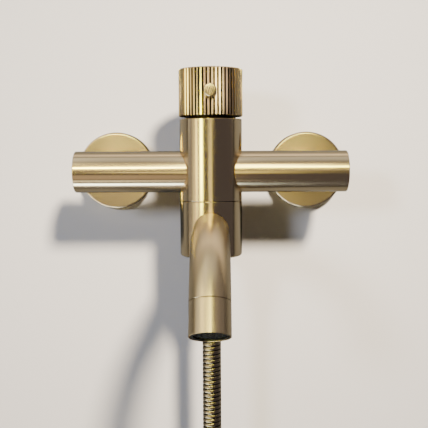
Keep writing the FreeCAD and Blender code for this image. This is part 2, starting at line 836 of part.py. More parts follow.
def make_outlet_column():
    """Fixed column under the body: the hub turns on it and its windows steer the water."""
    top = body_bottom + socket_depth - seat_gap
    thread_r = socket_thread_r - thread_gap
    groove_r = column_r - 2 * column_seal_wire_r - running_gap
    half = column_seal_wire_r + running_gap
    profile = [(0, top), (thread_r, top), (thread_r, body_bottom), (column_r, body_bottom)]
    for height in column_seal_heights:
        profile += [(column_r, height + half), (groove_r, height + half),
                    (groove_r, height - half), (column_r, height - half)]
    nut_low = hub_bottom - edge_chamfer
    nut_high = hub_bottom + hub_counterbore_depth
    shower_top = column_bottom + shower_thread_length
    profile += [
        (column_r, nut_high), (column_nut_thread_r, nut_high), (column_nut_thread_r, nut_low),
        (wall_thread_r, nut_low), (wall_thread_r, shower_top),
        (wall_thread_r, column_bottom + edge_chamfer),
        (wall_thread_r - edge_chamfer, column_bottom), (0, column_bottom),
    ]
    feed_end = body_axis + UP * column_feed_bottom
    shower_end = column_feed_bottom - column_web
    cutters = [
        rod(column_feed_r, feed_end, UP, top - column_feed_bottom + 1),
        rod(shower_bore_r, body_axis + UP * (column_bottom - 1), UP,
            shower_end - column_bottom + 1),
        rod(column_window_r, body_axis + UP * hub_duct_height, FRONT, 2 * column_r),
        rod(column_shower_window_r, body_axis + UP * column_shower_window_height, FRONT,
            2 * column_r),
    ]
    return turned(profile).cut(cutters)


def make_column_seals():
    """The column's two O-rings."""
    circle_r = column_r - column_seal_wire_r
    rings = [Part.makeTorus(circle_r, column_seal_wire_r, body_axis + UP * height)
             for height in column_seal_heights]
    return Part.makeCompound(rings)


def make_spout_hub():
    """Swivelling lower body with the spout's socket and the pockets that feed the shower."""
    outer = turned([
        (0, hub_bottom), (body_r, hub_bottom), (body_r, hub_top - edge_chamfer),
        (body_r - edge_chamfer, hub_top), (0, hub_top),
    ])
    rim = [edge for edge in outer.Edges
           if edge.BoundBox.ZMax < hub_bottom + edge_chamfer and edge.BoundBox.XLength > body_r]
    outer = outer.makeFillet(hub_bottom_round, rim)
    duct_start = body_axis + UP * hub_duct_height
    socket_start = body_axis + UP * spout_height + FRONT * (body_r - spout_socket_depth)
    cutters = [
        rod(column_r + running_gap, body_axis + UP * (hub_bottom - 1), UP,
            hub_top - hub_bottom + 2),
        rod(hub_counterbore_r, body_axis + UP * (hub_bottom - 1), UP, hub_counterbore_depth + 1),
        rod(hub_duct_r, duct_start, FRONT, body_r - spout_socket_depth + 1),
        rod(spout_r + braze_gap, socket_start, FRONT, body_r),
    ]
    low = column_shower_window_height
    for side in (-1, 1):
        centre = body_axis + RIGHT * side * (column_r - hub_pocket_r + hub_pocket_depth)
        cutters.append(rod(hub_pocket_r, centre + UP * low, UP, hub_duct_height - low))
    return outer.cut(cutters)


def make_upper_slip_ring():
    """Thin plastic ring between the body and the hub."""
    middle = body_bottom - hub_gap / 2
    half = slip_ring_thickness / 2
    return ring(slip_ring_r, column_r + 2 * running_gap, middle - half, middle + half)


def make_lower_slip_ring():
    """Plastic ring that carries the hub on its nut."""
    high = hub_bottom + hub_counterbore_depth - running_gap
    return ring(hub_nut_r, column_nut_thread_r + 2 * running_gap,
                high - lower_slip_thickness, high)


def make_hub_nut():
    """Notched ring nut under the hub."""
    high = hub_bottom + hub_counterbore_depth - lower_slip_thickness - 2 * running_gap
    low = high - hub_nut_thickness
    nut = ring(hub_nut_r, column_nut_thread_r + thread_gap, low, high)
    notches = []
    for k in range(hub_nut_notches):
        corner = body_axis + Vector(hub_nut_r - hub_nut_notch_depth, -hub_nut_notch_width / 2,
                                    low - 1)
        notch = Part.makeBox(hub_nut_notch_depth + 1, hub_nut_notch_width,
                             hub_nut_thickness + 2, corner)
        notches.append(round_the_axis(notch, 360 * k / hub_nut_notches))
    return nut.cut(notches)


def make_spout_tube():
    """Bent spout tube, brazed into the hub."""
    start = Vector(0, axis_y - body_r + spout_socket_depth - braze_gap, spout_height)
    straight_end = Vector(0, -spout_bend_from_wall, spout_height)
    straight = rod(spout_r, start, FRONT, (start - straight_end).Length)
    straight = straight.cut(rod(spout_bore_r, start + BACK, FRONT,
                                (start - straight_end).Length + 2))
    disc = Part.Face(Part.Wire([Part.makeCircle(spout_r, straight_end, FRONT)]))
    hole = Part.Face(Part.Wire([Part.makeCircle(spout_bore_r, straight_end, FRONT)]))
    bent = disc.cut(hole).revolve(spout_bend_centre, RIGHT, spout_bend_angle)
    groove = turned([
        (spout_r - spout_seam_chamfer, 0), (spout_r + 1, -spout_seam_chamfer - 1),
        (spout_r + 1, 1), (spout_r - spout_seam_chamfer, 1),
    ], spout_seam, spout_way)
    return straight.fuse(bent).removeSplitter().cut(groove)


def make_spout_collar():
    """End collar that carries the aerator and screws into the tube."""
    recess = collar_length - collar_recess_depth
    chamfer = spout_seam_chamfer
    return turned([
        (collar_throat_r, -collar_spigot_length), (collar_spigot_r, -collar_spigot_length),
        (collar_spigot_r, seat_gap), (spout_r - chamfer, seat_gap), (spout_r, seat_gap + chamfer),
        (spout_r, collar_length - chamfer), (spout_r - chamfer, collar_length),
        (collar_rim_r, collar_length), (collar_rim_r, recess), (collar_throat_r, recess),
    ], spout_seam, spout_way)


def make_aerator_case():
    """Black plastic case of the aerator, screwed into the collar."""
    outer = collar_rim_r - thread_gap
    high = collar_length - aerator_setback
    low = high - aerator_case_length
    core_r = aerator_core_r + running_gap
    return turned([
        (aerator_lip_r, low), (outer, low), (outer, high - edge_chamfer),
        (outer - edge_chamfer, high), (core_r, high), (core_r, low + aerator_lip_length),
        (aerator_lip_r, low + aerator_lip_length),
    ], spout_seam, spout_way)


def make_aerator_core():
    """Core with the rings of jet holes that show in the spout's end."""
    high = collar_length - aerator_setback - aerator_core_setback
    low = (collar_length - aerator_setback - aerator_case_length + aerator_lip_length
           + seat_gap)
    core = turned([
        (0, low), (aerator_core_r, low), (aerator_core_r, high - edge_chamfer),
        (aerator_core_r - edge_chamfer, high), (0, high),
    ], spout_seam, spout_way)
    holes = hole_rings(aerator_ring_pitch, aerator_ring_count, aerator_hole_r, low - 1,
                       high + 1, spout_seam, spout_way)
    return core.cut(holes)


def make_aerator_seal():
    """Flat washer between the aerator and the collar's shoulder."""
    low = collar_length - collar_recess_depth + seat_gap
    high = collar_length - aerator_setback - aerator_case_length - seat_gap
    return ring(collar_rim_r - 2 * thread_gap, aerator_seal_bore_r, low, high,
                spout_seam, spout_way)


def make_hose_washer(base, way):
    """Flat washer in the hose nut; base is the end of the thread it seals on."""
    return ring(hose_washer_r, hose_bore_r + 1, seat_gap, hose_washer_thickness - seat_gap,
                base, way)


def make_hose_tail(base, way):
    """Turned tail in the hose's end: a flange in the nut, a neck, and the crimped ferrule."""
    flange = hose_washer_thickness
    neck = flange + hose_tail_flange
    ferrule = neck + hose_tail_neck
    end = ferrule + ferrule_length
    return turned([
        (hose_tail_bore_r, flange), (hose_tail_flange_r, flange), (hose_tail_flange_r, neck),
        (hose_tail_r, neck), (hose_tail_r, ferrule),
        (ferrule_r - edge_chamfer, ferrule), (ferrule_r, ferrule + edge_chamfer),
        (ferrule_r, end - edge_chamfer), (ferrule_r - edge_chamfer, end),
        (hose_tail_bore_r, end),
    ], base, way)


def make_hose_nut(base, way):
    """Conical hose nut with a grooved grip, round the end of the thread at base."""
    mouth = hose_washer_thickness + hose_tail_flange - hose_nut_thread_depth
    high = mouth + hose_nut_length
    lip = hose_washer_thickness + hose_tail_flange + seat_gap
    grip = mouth + hose_nut_grip_length
    thread_r = wall_thread_r + thread_gap
    hole_r = hose_tail_r + 2 * running_gap
    nut = turned([
        (thread_r, mouth), (hose_nut_r - edge_chamfer, mouth), (hose_nut_r, mouth + edge_chamfer),
        (hose_nut_r, grip), (hose_nut_neck_r, high), (hole_r, high), (hole_r, lip),
        (hose_nut_seat_r, lip), (hose_nut_seat_r, seat_gap), (thread_r, seat_gap),
    ], base, way)
    foot = Vector(hose_nut_r + hose_nut_groove_out, 0, mouth + 2 * edge_chamfer)
    groove = rod(hose_nut_groove_r, foot, UP, hose_nut_grip_length - 3 * edge_chamfer)
    grooves = [round_the_axis(placed(groove, base, way), 360 * k / hose_nut_grooves, base, way)
               for k in range(hose_nut_grooves)]
    return nut.cut(grooves)


def hose_ring_heights():
    """Heights and radii of the circles that make the hose's ribs, four to a rib."""
    crest = hose_crest_share * hose_rib_pitch
    slope = hose_slope_share * hose_rib_pitch
    pairs = []
    for k in range(hose_rib_count):
        low = k * hose_rib_pitch
        pairs += [(low, hose_groove_r), (low + slope, hose_r), (low + slope + crest, hose_r),
                  (low + 2 * slope + crest, hose_groove_r)]
    pairs.append((hose_rib_count * hose_rib_pitch, hose_groove_r))
    return pairs


def make_hose_drop():
    """Ribbed hose hanging straight down from its ferrule, with its bore."""
    circles = [Part.Wire([Part.makeCircle(radius, Vector(0, 0, height), UP)])
               for height, radius in hose_ring_heights()]
    hose = Part.makeLoft(circles, True, True)
    length = hose_rib_count * hose_rib_pitch
    hose = hose.cut(rod(hose_bore_r, Vector(0, 0, -1), UP, length + 2))
    return placed(hose, hose_start, DOWN)


def coil_stations():
    """Points and directions along the coiled hose, from the end of the drop to its far end.

    The hose runs straight for one diameter, swings out by the lead angle, then goes
    clockwise round the coil and steps back by one pitch in each turn.
    """
    lead = math.radians(coil_lead_angle)
    drop_end = hose_start + DOWN * (hose_rib_count * hose_rib_pitch)
    lead_start = drop_end + DOWN * 2 * hose_r
    centre_z = lead_start.z - 2 * coil_r * math.sin(lead)
    stations = [(drop_end, DOWN), (lead_start, DOWN)]
    turns = [0.0, lead] + [lead + k * math.pi / 2 for k in range(1, coil_quarters + 1)]
    for turned_by in turns:
        angle = lead - turned_by
        place = Vector(coil_r * math.cos(angle), axis_y + coil_lead_shift + coil_rise * turned_by,
                       centre_z + coil_r * math.sin(angle))
        way = unit(Vector(coil_r * math.sin(angle), coil_rise, -coil_r * math.cos(angle)))
        stations.append((place, way))
    stations.append((place + way * coil_end_straight, way))
    return stations


def coil_edges():
    """Straight and curved edges through the coil's stations."""
    stations = coil_stations()
    edges = []
    for (start, start_way), (end, end_way) in zip(stations, stations[1:]):
        if start_way.dot(end_way) > 1 - 1e-9:
            edges.append(Part.makeLine(start, end))
        else:
            edges += biarc(start, start_way, end, end_way)
    return edges


def least_gap(edges):
    """Least gap between turns of the coil, measured on points along its centre line."""
    points = []
    travelled = 0.0
    for edge in edges:
        count = max(2, int(edge.Length / coil_gap_step))
        for k in range(count):
            length = edge.Length * k / count
            place = edge.valueAt(edge.getParameterByLength(length))
            points.append((travelled + length, place))
        travelled += edge.Length
    apart = math.pi * coil_r
    gaps = [a.distanceToPoint(b) for i, (s, a) in enumerate(points)
            for t, b in points[i + 1:] if t - s > apart]
    return min(gaps) - 2 * hose_r


def make_hose_coil():
    """Rest of the hose, put away in one coil."""
    edges = coil_edges()
    length = sum(edge.Length for edge in edges)
    radii = [edge.Curve.Radius for edge in edges if hasattr(edge.Curve, "Radius")]
    start, way = coil_stations()[0]
    coil = swept(edges, hose_r, start, way)
    section = math.pi * hose_r ** 2
    print(f"coil: length {length:.1f}, radii {min(radii):.1f} to {max(radii):.1f}, "
          f"least gap {least_gap(edges):.2f}, volume ratio {coil.Volume / section / length:.4f}")
    print(f"hose length {length + hose_rib_count * hose_rib_pitch:.1f}")
    return coil


def make_hose_tie(angle):
    """Strap round the coil's strands at one angle."""
    lead = coil_lead_angle
    turned_by = (lead - angle) % 360
    total = lead + 90 * coil_quarters
    strands = []
    while turned_by < total:
        strands.append(turned_by)
        turned_by += 360
    ys = [coil_lead_shift + coil_pitch * t / 360 for t in strands]
    middle = (ys[0] + ys[-1]) / 2
    half = (ys[-1] - ys[0]) / 2
    inner = hose_r + tie_play
    outer = inner + tie_thickness

    def racetrack(radius):
        return Part.Face(Part.Wire([
            Part.makeLine(Vector(radius, -half, 0), Vector(radius, half, 0)),
            Part.Arc(Vector(radius, half, 0), Vector(0, half + radius, 0),
                     Vector(-radius, half, 0)).toShape(),
            Part.makeLine(Vector(-radius, half, 0), Vector(-radius, -half, 0)),
            Part.Arc(Vector(-radius, -half, 0), Vector(0, -half - radius, 0),
                     Vector(radius, -half, 0)).toShape(),
        ]))

    band = racetrack(outer).cut(racetrack(inner)).extrude(UP * tie_width)
    band.translate(DOWN * tie_width / 2)
    band.rotate(Vector(), FRONT, angle)
    a = math.radians(angle)
    centre_z = coil_stations()[1][0].z - 2 * coil_r * math.sin(math.radians(lead))
    band.translate(Vector(coil_r * math.cos(a), axis_y + middle, centre_z + coil_r * math.sin(a)))
    return band


os.makedirs("parts", exist_ok=True)

hose_top = body_axis + UP * column_bottom
hose_start = hose_top + DOWN * (hose_washer_thickness + hose_tail_flange + hose_tail_neck
                                + ferrule_length)

for name, side in (("left", -1), ("right", 1)):
    save(f"wall_union_{name}", make_wall_union(side))
    save(f"wall_flange_{name}", make_flange(side))
    save(f"flange_seal_{name}", make_flange_seal(side))
    save(f"union_nut_{name}", make_union_nut(side))
    save(f"strainer_washer_{name}", make_strainer_washer(side))
    save(f"inlet_tail_{name}", make_inlet_tail(side))
    save(f"check_valve_case_{name}", make_valve_case(side))
    save(f"check_valve_poppet_{name}", make_poppet(side))
    save(f"check_valve_spring_{name}", make_valve_spring(side))
    save(f"arm_{name}", make_arm(side))
    save(f"arm_end_cap_{name}", make_end_cap(side))

save("mixer_body", make_mixer_body())
save("port_gasket", make_port_gasket())
save("cartridge_base", make_cartridge_base())
save("ceramic_disc_fixed", make_fixed_disc())
save("ceramic_disc_moving", make_moving_disc())
save("cartridge_case", make_cartridge_case())
save("cartridge_stem", make_stem())
save("stem_seal", make_stem_seal())
save("cartridge_nut", make_cartridge_nut())
save("knob", make_knob())
save("knob_insert", make_knob_insert())
save("knob_grub_screw", make_grub_screw())
save("lever_pin", make_lever_pin())
save("outlet_column", make_outlet_column())
save("column_seals", make_column_seals())
save("hub_slip_ring_upper", make_upper_slip_ring())
save("hub_slip_ring_lower", make_lower_slip_ring())
save("hub_nut", make_hub_nut())
save("spout_hub", make_spout_hub())
save("spout_tube", make_spout_tube())
save("spout_collar", make_spout_collar())
save("aerator_case", make_aerator_case())
save("aerator_core", make_aerator_core())
save("aerator_seal", make_aerator_seal())

hose_end, far_way = coil_stations()[-1]
far_thread = hose_end + far_way * (hose_washer_thickness + hose_tail_flange + hose_tail_neck
                                   + ferrule_length)
save("hose_nut_top", make_hose_nut(hose_top, DOWN))
save("hose_washer_top", make_hose_washer(hose_top, DOWN))
save("hose_tail_top", make_hose_tail(hose_top, DOWN))
save("hose_drop", make_hose_drop())
save("hose_coil", make_hose_coil())
save("hose_tail_bottom", make_hose_tail(far_thread, -far_way))
save("hose_nut_bottom", make_hose_nut(far_thread, -far_way))
save("hose_washer_bottom", make_hose_washer(far_thread, -far_way))
for name, angle in zip(("upper", "lower"), tie_angles):
    save(f"hose_tie_{name}", make_hose_tie(angle))

print(f"{len(made)} nodes")
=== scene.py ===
"""Bath mixer in brushed brass: finishes, smooth pieces, shower hose, plain studio and camera.

Everything is in metres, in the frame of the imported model: the origin lies on the wall plane, midway
between the two inlets, +Z is up, and the mixer stands out of the wall along -Y.
"""
import logging
import math
from dataclasses import dataclass
from enum import Enum
from typing import Callable, ClassVar, Sequence

import bmesh
import bpy
from bpy.types import Collection, Material, Node, NodeSocket, NodeTree, Object
from mathutils import Matrix, Vector


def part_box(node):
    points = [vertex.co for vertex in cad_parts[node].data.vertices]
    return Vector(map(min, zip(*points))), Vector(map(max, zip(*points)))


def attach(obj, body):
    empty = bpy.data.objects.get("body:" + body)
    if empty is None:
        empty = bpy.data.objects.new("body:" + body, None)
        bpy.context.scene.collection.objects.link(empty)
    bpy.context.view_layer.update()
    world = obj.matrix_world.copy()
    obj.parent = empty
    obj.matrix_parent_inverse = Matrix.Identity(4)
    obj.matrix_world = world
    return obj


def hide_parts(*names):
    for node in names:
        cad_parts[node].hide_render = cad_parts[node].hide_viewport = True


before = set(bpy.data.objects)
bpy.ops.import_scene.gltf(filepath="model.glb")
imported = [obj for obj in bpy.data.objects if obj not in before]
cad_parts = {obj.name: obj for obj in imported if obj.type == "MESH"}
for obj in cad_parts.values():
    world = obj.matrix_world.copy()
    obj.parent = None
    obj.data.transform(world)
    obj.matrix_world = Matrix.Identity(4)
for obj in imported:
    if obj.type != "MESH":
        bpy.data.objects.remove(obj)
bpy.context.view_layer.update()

log = logging.getLogger("bath mixer")

MM = 0.001
TURN = 2 * math.pi
UP, FRONT, RIGHT = Vector((0, 0, 1)), Vector((0, -1, 0)), Vector((1, 0, 0))
TURNING_MAP = "turning"         # UV map: U goes once round the turned piece, V runs along it
FLUTE_SHADE = "flute_shade"     # attribute: how much painted shade, 0 on the knob's lands and top, 1 on its flutes' floors and underside
RIB_HEIGHT = "rib_height"       # attribute: 0 in the hose's grooves, 1 on its crests
NOISE_SPAN = (0.3, 0.7)         # where nearly all of a noise's values lie
TINY_RING = 0.3 * MM            # radius at which a turned face is closed
MERGE_WITHIN = 0.001 * MM
MAP_UNIT = 0.1                  # metres along a piece to one unit of V
BRASS_SLOT = "gold_brass"       # name of the material slot for what is seen of the mixer

Profile = Sequence[tuple[float, float]]
Measure = Callable[[Vector], tuple[float, float]]


def linear(code: str) -> tuple[float, float, float, float]:
    """Turn an sRGB hex colour to linear light.

    Args:
        code: six hex digits, such as "c9a46b".

    Returns:
        Red, green, blue and an alpha of one.
    """
    channels = [int(code[i:i + 2], 16) / 255 for i in (0, 2, 4)]
    red, green, blue = (
        c / 12.92 if c <= 0.04045 else ((c + 0.055) / 1.055) ** 2.4 for c in channels)
    return red, green, blue, 1.0


def feed(node: Node, inputs: dict) -> None:
    """Set or link inputs of a node.

    Args:
        node: the node.
        inputs: socket name or number, to a value, or to what feeds it: a socket, or a node that
            gives its first output.
    """
    for name, value in inputs.items():
        if isinstance(value, Node):
            value = value.outputs[0]
        if isinstance(value, NodeSocket):
            node.id_data.links.new(value, node.inputs[name])
        else:
            node.inputs[name].default_value = value


def add_node(tree: NodeTree, kind: str, inputs: dict | None = None, **settings: object) -> Node:
    """Add one node with its settings, values and links.

    Args:
        tree: the node tree it goes into.
        kind: the node's type, without Blender's prefix.
        inputs: as for feed.
        settings: the node's own properties.

    Returns:
        The new node.
    """
    node = tree.nodes.new("ShaderNode" + kind)
    for name, value in settings.items():
        setattr(node, name, value)
    feed(node, inputs or {})
    return node


def new_material(name: str) -> tuple[Material, NodeTree, Node]:
    """Make a material that holds one Principled shader.

    Args:
        name: the finish's name.

    Returns:
        The material, its node tree and the shader.
    """
    material = bpy.data.materials.new(name)
    material.use_nodes = True
    return material, material.node_tree, material.node_tree.nodes["Principled BSDF"]


@dataclass(frozen=True)
class BrushedBrass:
    """Brass brushed on the lathe: fine lines go round each piece, so a light smears along it.

    The lines are a quarter of a millimetre apart on the real surface. They are drawn at
    `line_mm`, coarse enough to show.
    """

    name: str = "brushed_champagne_brass"
    colour: str = "e8d1ac"
    shade: str = "dfc7a0"               # where the patina is full
    patina_mm: float = 1000 / 28
    patina_detail: float = 2.0
    roughness: float = 0.175
    swing: float = 0.008                # how far the lines change it
    smear: float = 0.35                 # how much longer a highlight is along than round
    smear_turn: float = 0.25            # of a whole turn, so that it runs along the piece
    line_mm: float = 0.45
    line_turns: float = 1.3             # the smaller, the longer the lines
    line_detail: float = 3.0
    line_fade: float = 0.6              # how strong the finer lines are
    line_depth_mm: float = 0.0004
    relief: float = 0.35                # share of that depth which shows
    groove_shade: str = ""                    # colour of the painted shade on the floors of flutes, where it has them
    groove_roughness: float = 0.3       # how much rougher they are

    def material(self) -> Material:
        """Build the finish.

        Returns:
            A material for pieces that have the turning map.
        """
        material, tree, shader = new_material(self.name)
        split = add_node(tree, "SeparateXYZ", {0: add_node(tree, "UVMap", uv_map=TURNING_MAP)})
        angle = add_node(tree, "Math", {0: split.outputs["X"], 1: TURN}, operation="MULTIPLY")
        across = add_node(tree, "Math", {
            0: split.outputs["Y"], 1: MAP_UNIT / (self.line_mm * MM)}, operation="MULTIPLY")
        place = add_node(tree, "CombineXYZ", {
            0: add_node(tree, "Math", {0: angle}, operation="COSINE"),
            1: add_node(tree, "Math", {0: angle}, operation="SINE"), 2: across})
        stretch = add_node(tree, "VectorMath", {
            0: place, 1: (self.line_turns, self.line_turns, 1.0)}, operation="MULTIPLY")
        lines = add_node(tree, "TexNoise", {
            "Vector": stretch, "Scale": 1.0, "Detail": self.line_detail,
            "Roughness": self.line_fade})
        patina = add_node(tree, "TexNoise", {
            "Vector": add_node(tree, "TexCoord").outputs["Object"],
            "Scale": 1 / (self.patina_mm * MM), "Detail": self.patina_detail})
        tint = add_node(tree, "Mix", {
            "Factor": patina, 6: linear(self.colour), 7: linear(self.shade)},
            data_type="RGBA").outputs[2]
        rough = add_node(tree, "MapRange", {
            "Value": lines, "From Min": NOISE_SPAN[0], "From Max": NOISE_SPAN[1],
            "To Min": self.roughness - self.swing, "To Max": self.roughness + self.swing})
        # Painted shade on the flutes' floors and the knob's underside: a darker colour and specular
        # tint there, and more roughness
        if self.groove_shade:
            depth = add_node(tree, "Attribute", attribute_name=FLUTE_SHADE).outputs["Fac"]
            dark = linear(self.groove_shade)
            tint, edge = (
                add_node(tree, "Mix", {"Factor": depth, 6: land, 7: dark},
                         data_type="RGBA").outputs[2]
                for land in (tint, linear("ffffff")))
            feed(shader, {"Specular Tint": edge})
            rough = add_node(tree, "Math", {0: depth, 1: self.groove_roughness, 2: rough},
                             operation="MULTIPLY_ADD")
        ridges = add_node(tree, "Bump", {
            "Height": lines, "Strength": self.relief, "Distance": self.line_depth_mm * MM})
        around = add_node(tree, "Tangent", direction_type="UV_MAP", uv_map=TURNING_MAP)
        feed(shader, {
            "Metallic": 1.0, "Anisotropic": self.smear,
            "Anisotropic Rotation": self.smear_turn, "Base Color": tint,
            "Roughness": rough, "Normal": ridges, "Tangent": around})
        return material


@dataclass(frozen=True)
class Grained:
    """Moulded plastic, rubber, tape or lapped ceramic: one colour with a fine even grain."""

    name: str
    colour: str
    roughness: float
    metallic: float = 0.0
    ior: float = 1.5
    shade: float = 0.8                  # brightness of the grain's dark side
    swing: float = 0.06                 # how far the grain changes the roughness
    span: tuple[float, float] = (0.0, 1.0)      # the grain's values that give both ends of it
    grain_mm: float = 0.4
    grain_detail: float = 2.0
    grain_depth_mm: float = 0.01
    relief: float = 0.4                 # share of that depth which shows

    def material(self) -> Material:
        """Build the finish.

        Returns:
            A material that reads only object coordinates.
        """
        material, tree, shader = new_material(self.name)
        grain = add_node(tree, "TexNoise", {
            "Vector": add_node(tree, "TexCoord").outputs["Object"],
            "Scale": 1 / (self.grain_mm * MM), "Detail": self.grain_detail})
        rough = add_node(tree, "MapRange", {
            "Value": grain, "From Min": self.span[0], "From Max": self.span[1],
            "To Min": self.roughness - self.swing, "To Max": self.roughness + self.swing})
        bright = linear(self.colour)
        tone = add_node(tree, "Mix", {
            "Factor": grain, 6: bright, 7: (*(self.shade * c for c in bright[:3]), 1.0)},
            data_type="RGBA")
        bump = add_node(tree, "Bump", {
            "Height": grain, "Strength": self.relief, "Distance": self.grain_depth_mm * MM})
        feed(shader, {"Metallic": self.metallic, "IOR": self.ior, "Base Color": tone.outputs[2],
                      "Roughness": rough, "Normal": bump})
        return material


@dataclass(frozen=True)
class PlainMetal(Grained):
    """Machined, drawn or satin metal without a marked direction: an even, mottled sheen."""

    metallic: float = 1.0
    shade: float = 0.86
    swing: float = 0.05
    span: tuple[float, float] = NOISE_SPAN
    grain_mm: float = 1.2
    grain_detail: float = 4.0
    relief: float = 0.2


@dataclass(frozen=True)
class HoseBrass:
    """Satin brass strip wound into a hose: bright crests, and painted shade in the grooves where
    strips lock.
    """

    name: str = "wound_brass_strip"
    crest: str = "b3a288"
    # colour of the painted shade in the grooves
    groove_shade: str = "1a140e"
    dark_below: float = 0.6             # height on a rib up to which the painted shade goes
    roughness: float = 0.3
    smoother: float = 0.06              # how far the mottle changes it each way
    rougher: float = 0.08
    mottle_mm: float = 10 / 9
    mottle_detail: float = 3.0

    def material(self) -> Material:
        """Build the finish.

        Returns:
            A material for the hose, which carries how high each point stands on its rib.
        """
        material, tree, shader = new_material(self.name)
        height = add_node(tree, "Attribute", attribute_name=RIB_HEIGHT).outputs["Fac"]
        mottle = add_node(tree, "TexNoise", {
            "Vector": add_node(tree, "TexCoord").outputs["Object"],
            "Scale": 1 / (self.mottle_mm * MM), "Detail": self.mottle_detail})
        # Painted shade: the colour is the dark one up to dark_below on a rib, and rises to the
        # crest's above it
        bright = add_node(tree, "MapRange", {"Value": height, "From Min": self.dark_below})
        tone = add_node(tree, "Mix", {
            "Factor": bright, 6: linear(self.groove_shade), 7: linear(self.crest)}, data_type="RGBA")
        rough = add_node(tree, "MapRange", {
            "Value": mottle, "From Min": NOISE_SPAN[0], "From Max": NOISE_SPAN[1],
            "To Min": self.roughness - self.smoother, "To Max": self.roughness + self.rougher})
        feed(shader, {"Metallic": 1.0, "Base Color": tone.outputs[2], "Roughness": rough})
        return material


class Finish(Enum):
    """The finishes of the mixer, each made once."""

    # Brushed brass of the body and arms: crisp long highlights
    BRUSHED = BrushedBrass()
    # The same, duller: the spout's highlights are broad and calm
    SOFT_BRUSHED = BrushedBrass(
        "soft_brushed_brass", roughness=0.32, smear=0.5, line_depth_mm=0.0001)
    # Flat faces turned on the lathe: rings that fan a light out
    FLAT_TURNED = BrushedBrass("face_turned_brass", roughness=0.26, smear=0.4)
    # The glossiest, with painted shade in the flutes: bright lands between dark lines
    KNOB = BrushedBrass("fluted_brass", roughness=0.16, smear=0.2, groove_shade="241b11")
    # The pin's small end: one even tone
    PIN = BrushedBrass("turned_pin_brass", roughness=0.24, smear=0.0)
    # Satin brass of nuts and ferrules: an even sheen
    SATIN = PlainMetal("satin_brass", "e4cda8", 0.22)
    # Bare brass as machined: yellower than what is in view
    MACHINED = PlainMetal("machined_brass", "d2ae62", 0.24)
    # Brass painted nearly black as shade, so the gap under the knob stays dark
    DARK_NECK = PlainMetal("shade_dark_brass_neck", "2e241a", 0.45)
    # Drawn stainless steel: a cool grey sheen
    STEEL = PlainMetal("stainless_steel", "b9b9b6", 0.25)
    HOSE = HoseBrass()
    # Lapped alumina: white, and glossy as glazed china
    CERAMIC = Grained("lapped_alumina_ceramic", "e6e4dd", 0.12, ior=1.7)
    # Moulded acetal, uncoloured and dark grey: waxy
    ACETAL = Grained("natural_acetal", "dcdad2", 0.4, ior=1.48)
    GREY_ACETAL = Grained("dark_grey_acetal", "1b2027", 0.5, ior=1.48)
    # Moulded ABS: black with a dull gloss
    BLACK_ABS = Grained("black_abs", "08080a", 0.5, ior=1.54)
    # Nitrile rubber: matt and nearly black
    RUBBER = Grained("nitrile_rubber", "1a1918", 0.6, ior=1.52)
    # Woven hook-and-loop tape: pale, coarse and without gloss
    TIE = Grained("hook_and_loop_tie", "c9c6bd", 0.8, grain_mm=0.7, grain_depth_mm=0.15)

    def made(self) -> Material:
        """Give the finish's material, building it the first time."""
        known = bpy.data.materials.get(self.value.name)
        return known if known else self.value.material()


def dress(piece: Object, finish: Finish) -> None:
    """Give all of a piece one finish.

    Args:
        piece: a CAD node or a new piece.
        finish: the finish it takes.
    """
    piece.data.materials.clear()
    piece.data.materials.append(finish.made())


def dress_nodes(finishes: dict[str, Finish], ending: str = "") -> list[Object]:
    """Give CAD nodes their finishes.

    Args:
        finishes: each node's name, but for its ending, to its finish.
        ending: what all the names end with.

    Returns:
        The nodes.
    """
    nodes = [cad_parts[name + ending] for name in finishes]
    for node, finish in zip(nodes, finishes.values()):
        dress(node, finish)
    return nodes


def seat(piece: Object, finish: Finish, body: str, *nodes: str,
         slot: str = BRASS_SLOT) -> None:
    """Dress a new piece and make it ride on a body, in place of CAD nodes.

    Args:
        piece: the finished piece.
        finish: its finish.
        body: the CAD body that it moves with.
        nodes: the CAD nodes that it stands for.
        slot: not used.
    """
    dress(piece, finish)
    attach(piece, body)
    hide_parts(*nodes)
    log.info("%s: %d faces, rides on %s", piece.name, len(piece.data.polygons), body)


def select_only(piece: Object) -> None:
    """Make a piece the only selected and the active object."""
    bpy.ops.object.select_all(action="DESELECT")
    piece.select_set(True)
    bpy.context.view_layer.objects.active = piece


def apply_modifier(piece: Object, kind: str, **settings: object) -> None:
    """Add a modifier and apply it.

    Args:
        piece: the piece that it shapes.
        kind: the modifier's type.
        settings: the modifier's properties.
    """
    select_only(piece)
    bpy.ops.object.modifier_add(type=kind)
    modifier = piece.modifiers[-1]
    for name, value in settings.items():
        setattr(modifier, name, value)
    bpy.ops.object.modifier_apply(modifier=modifier.name)


def close_mesh() -> None:
    """Merge what meets in the mesh being edited, face it outwards and leave edit mode."""
    bpy.ops.mesh.select_all(action="SELECT")
    bpy.ops.mesh.remove_doubles(threshold=MERGE_WITHIN)
    bpy.ops.mesh.normals_make_consistent(inside=False)
    bpy.ops.object.mode_set(mode="OBJECT")


def smooth(piece: Object, degrees: float, weight: int = 60) -> None:
    """Shade a piece smooth between its sharp edges, with its shading led by its large faces.

    Args:
        piece: the piece.
        degrees: the angle from which an edge stays sharp.
        weight: how far the large faces lead, from 1 to 100.
    """
    select_only(piece)
    bpy.ops.object.shade_smooth_by_angle(angle=math.radians(degrees))
    apply_modifier(piece, "WEIGHTED_NORMAL", keep_sharp=True, weight=weight)


def quarter_circle(steps: int) -> Profile:
    """Give the cosine and sine of even steps from 0 to 90 degrees.

    Args:
        steps: how many steps there are.

    Returns:
        One pair more than there are steps.
    """
    angles = [math.pi / 2 * k / steps for k in range(steps + 1)]
    return [(math.cos(angle), math.sin(angle)) for angle in angles]


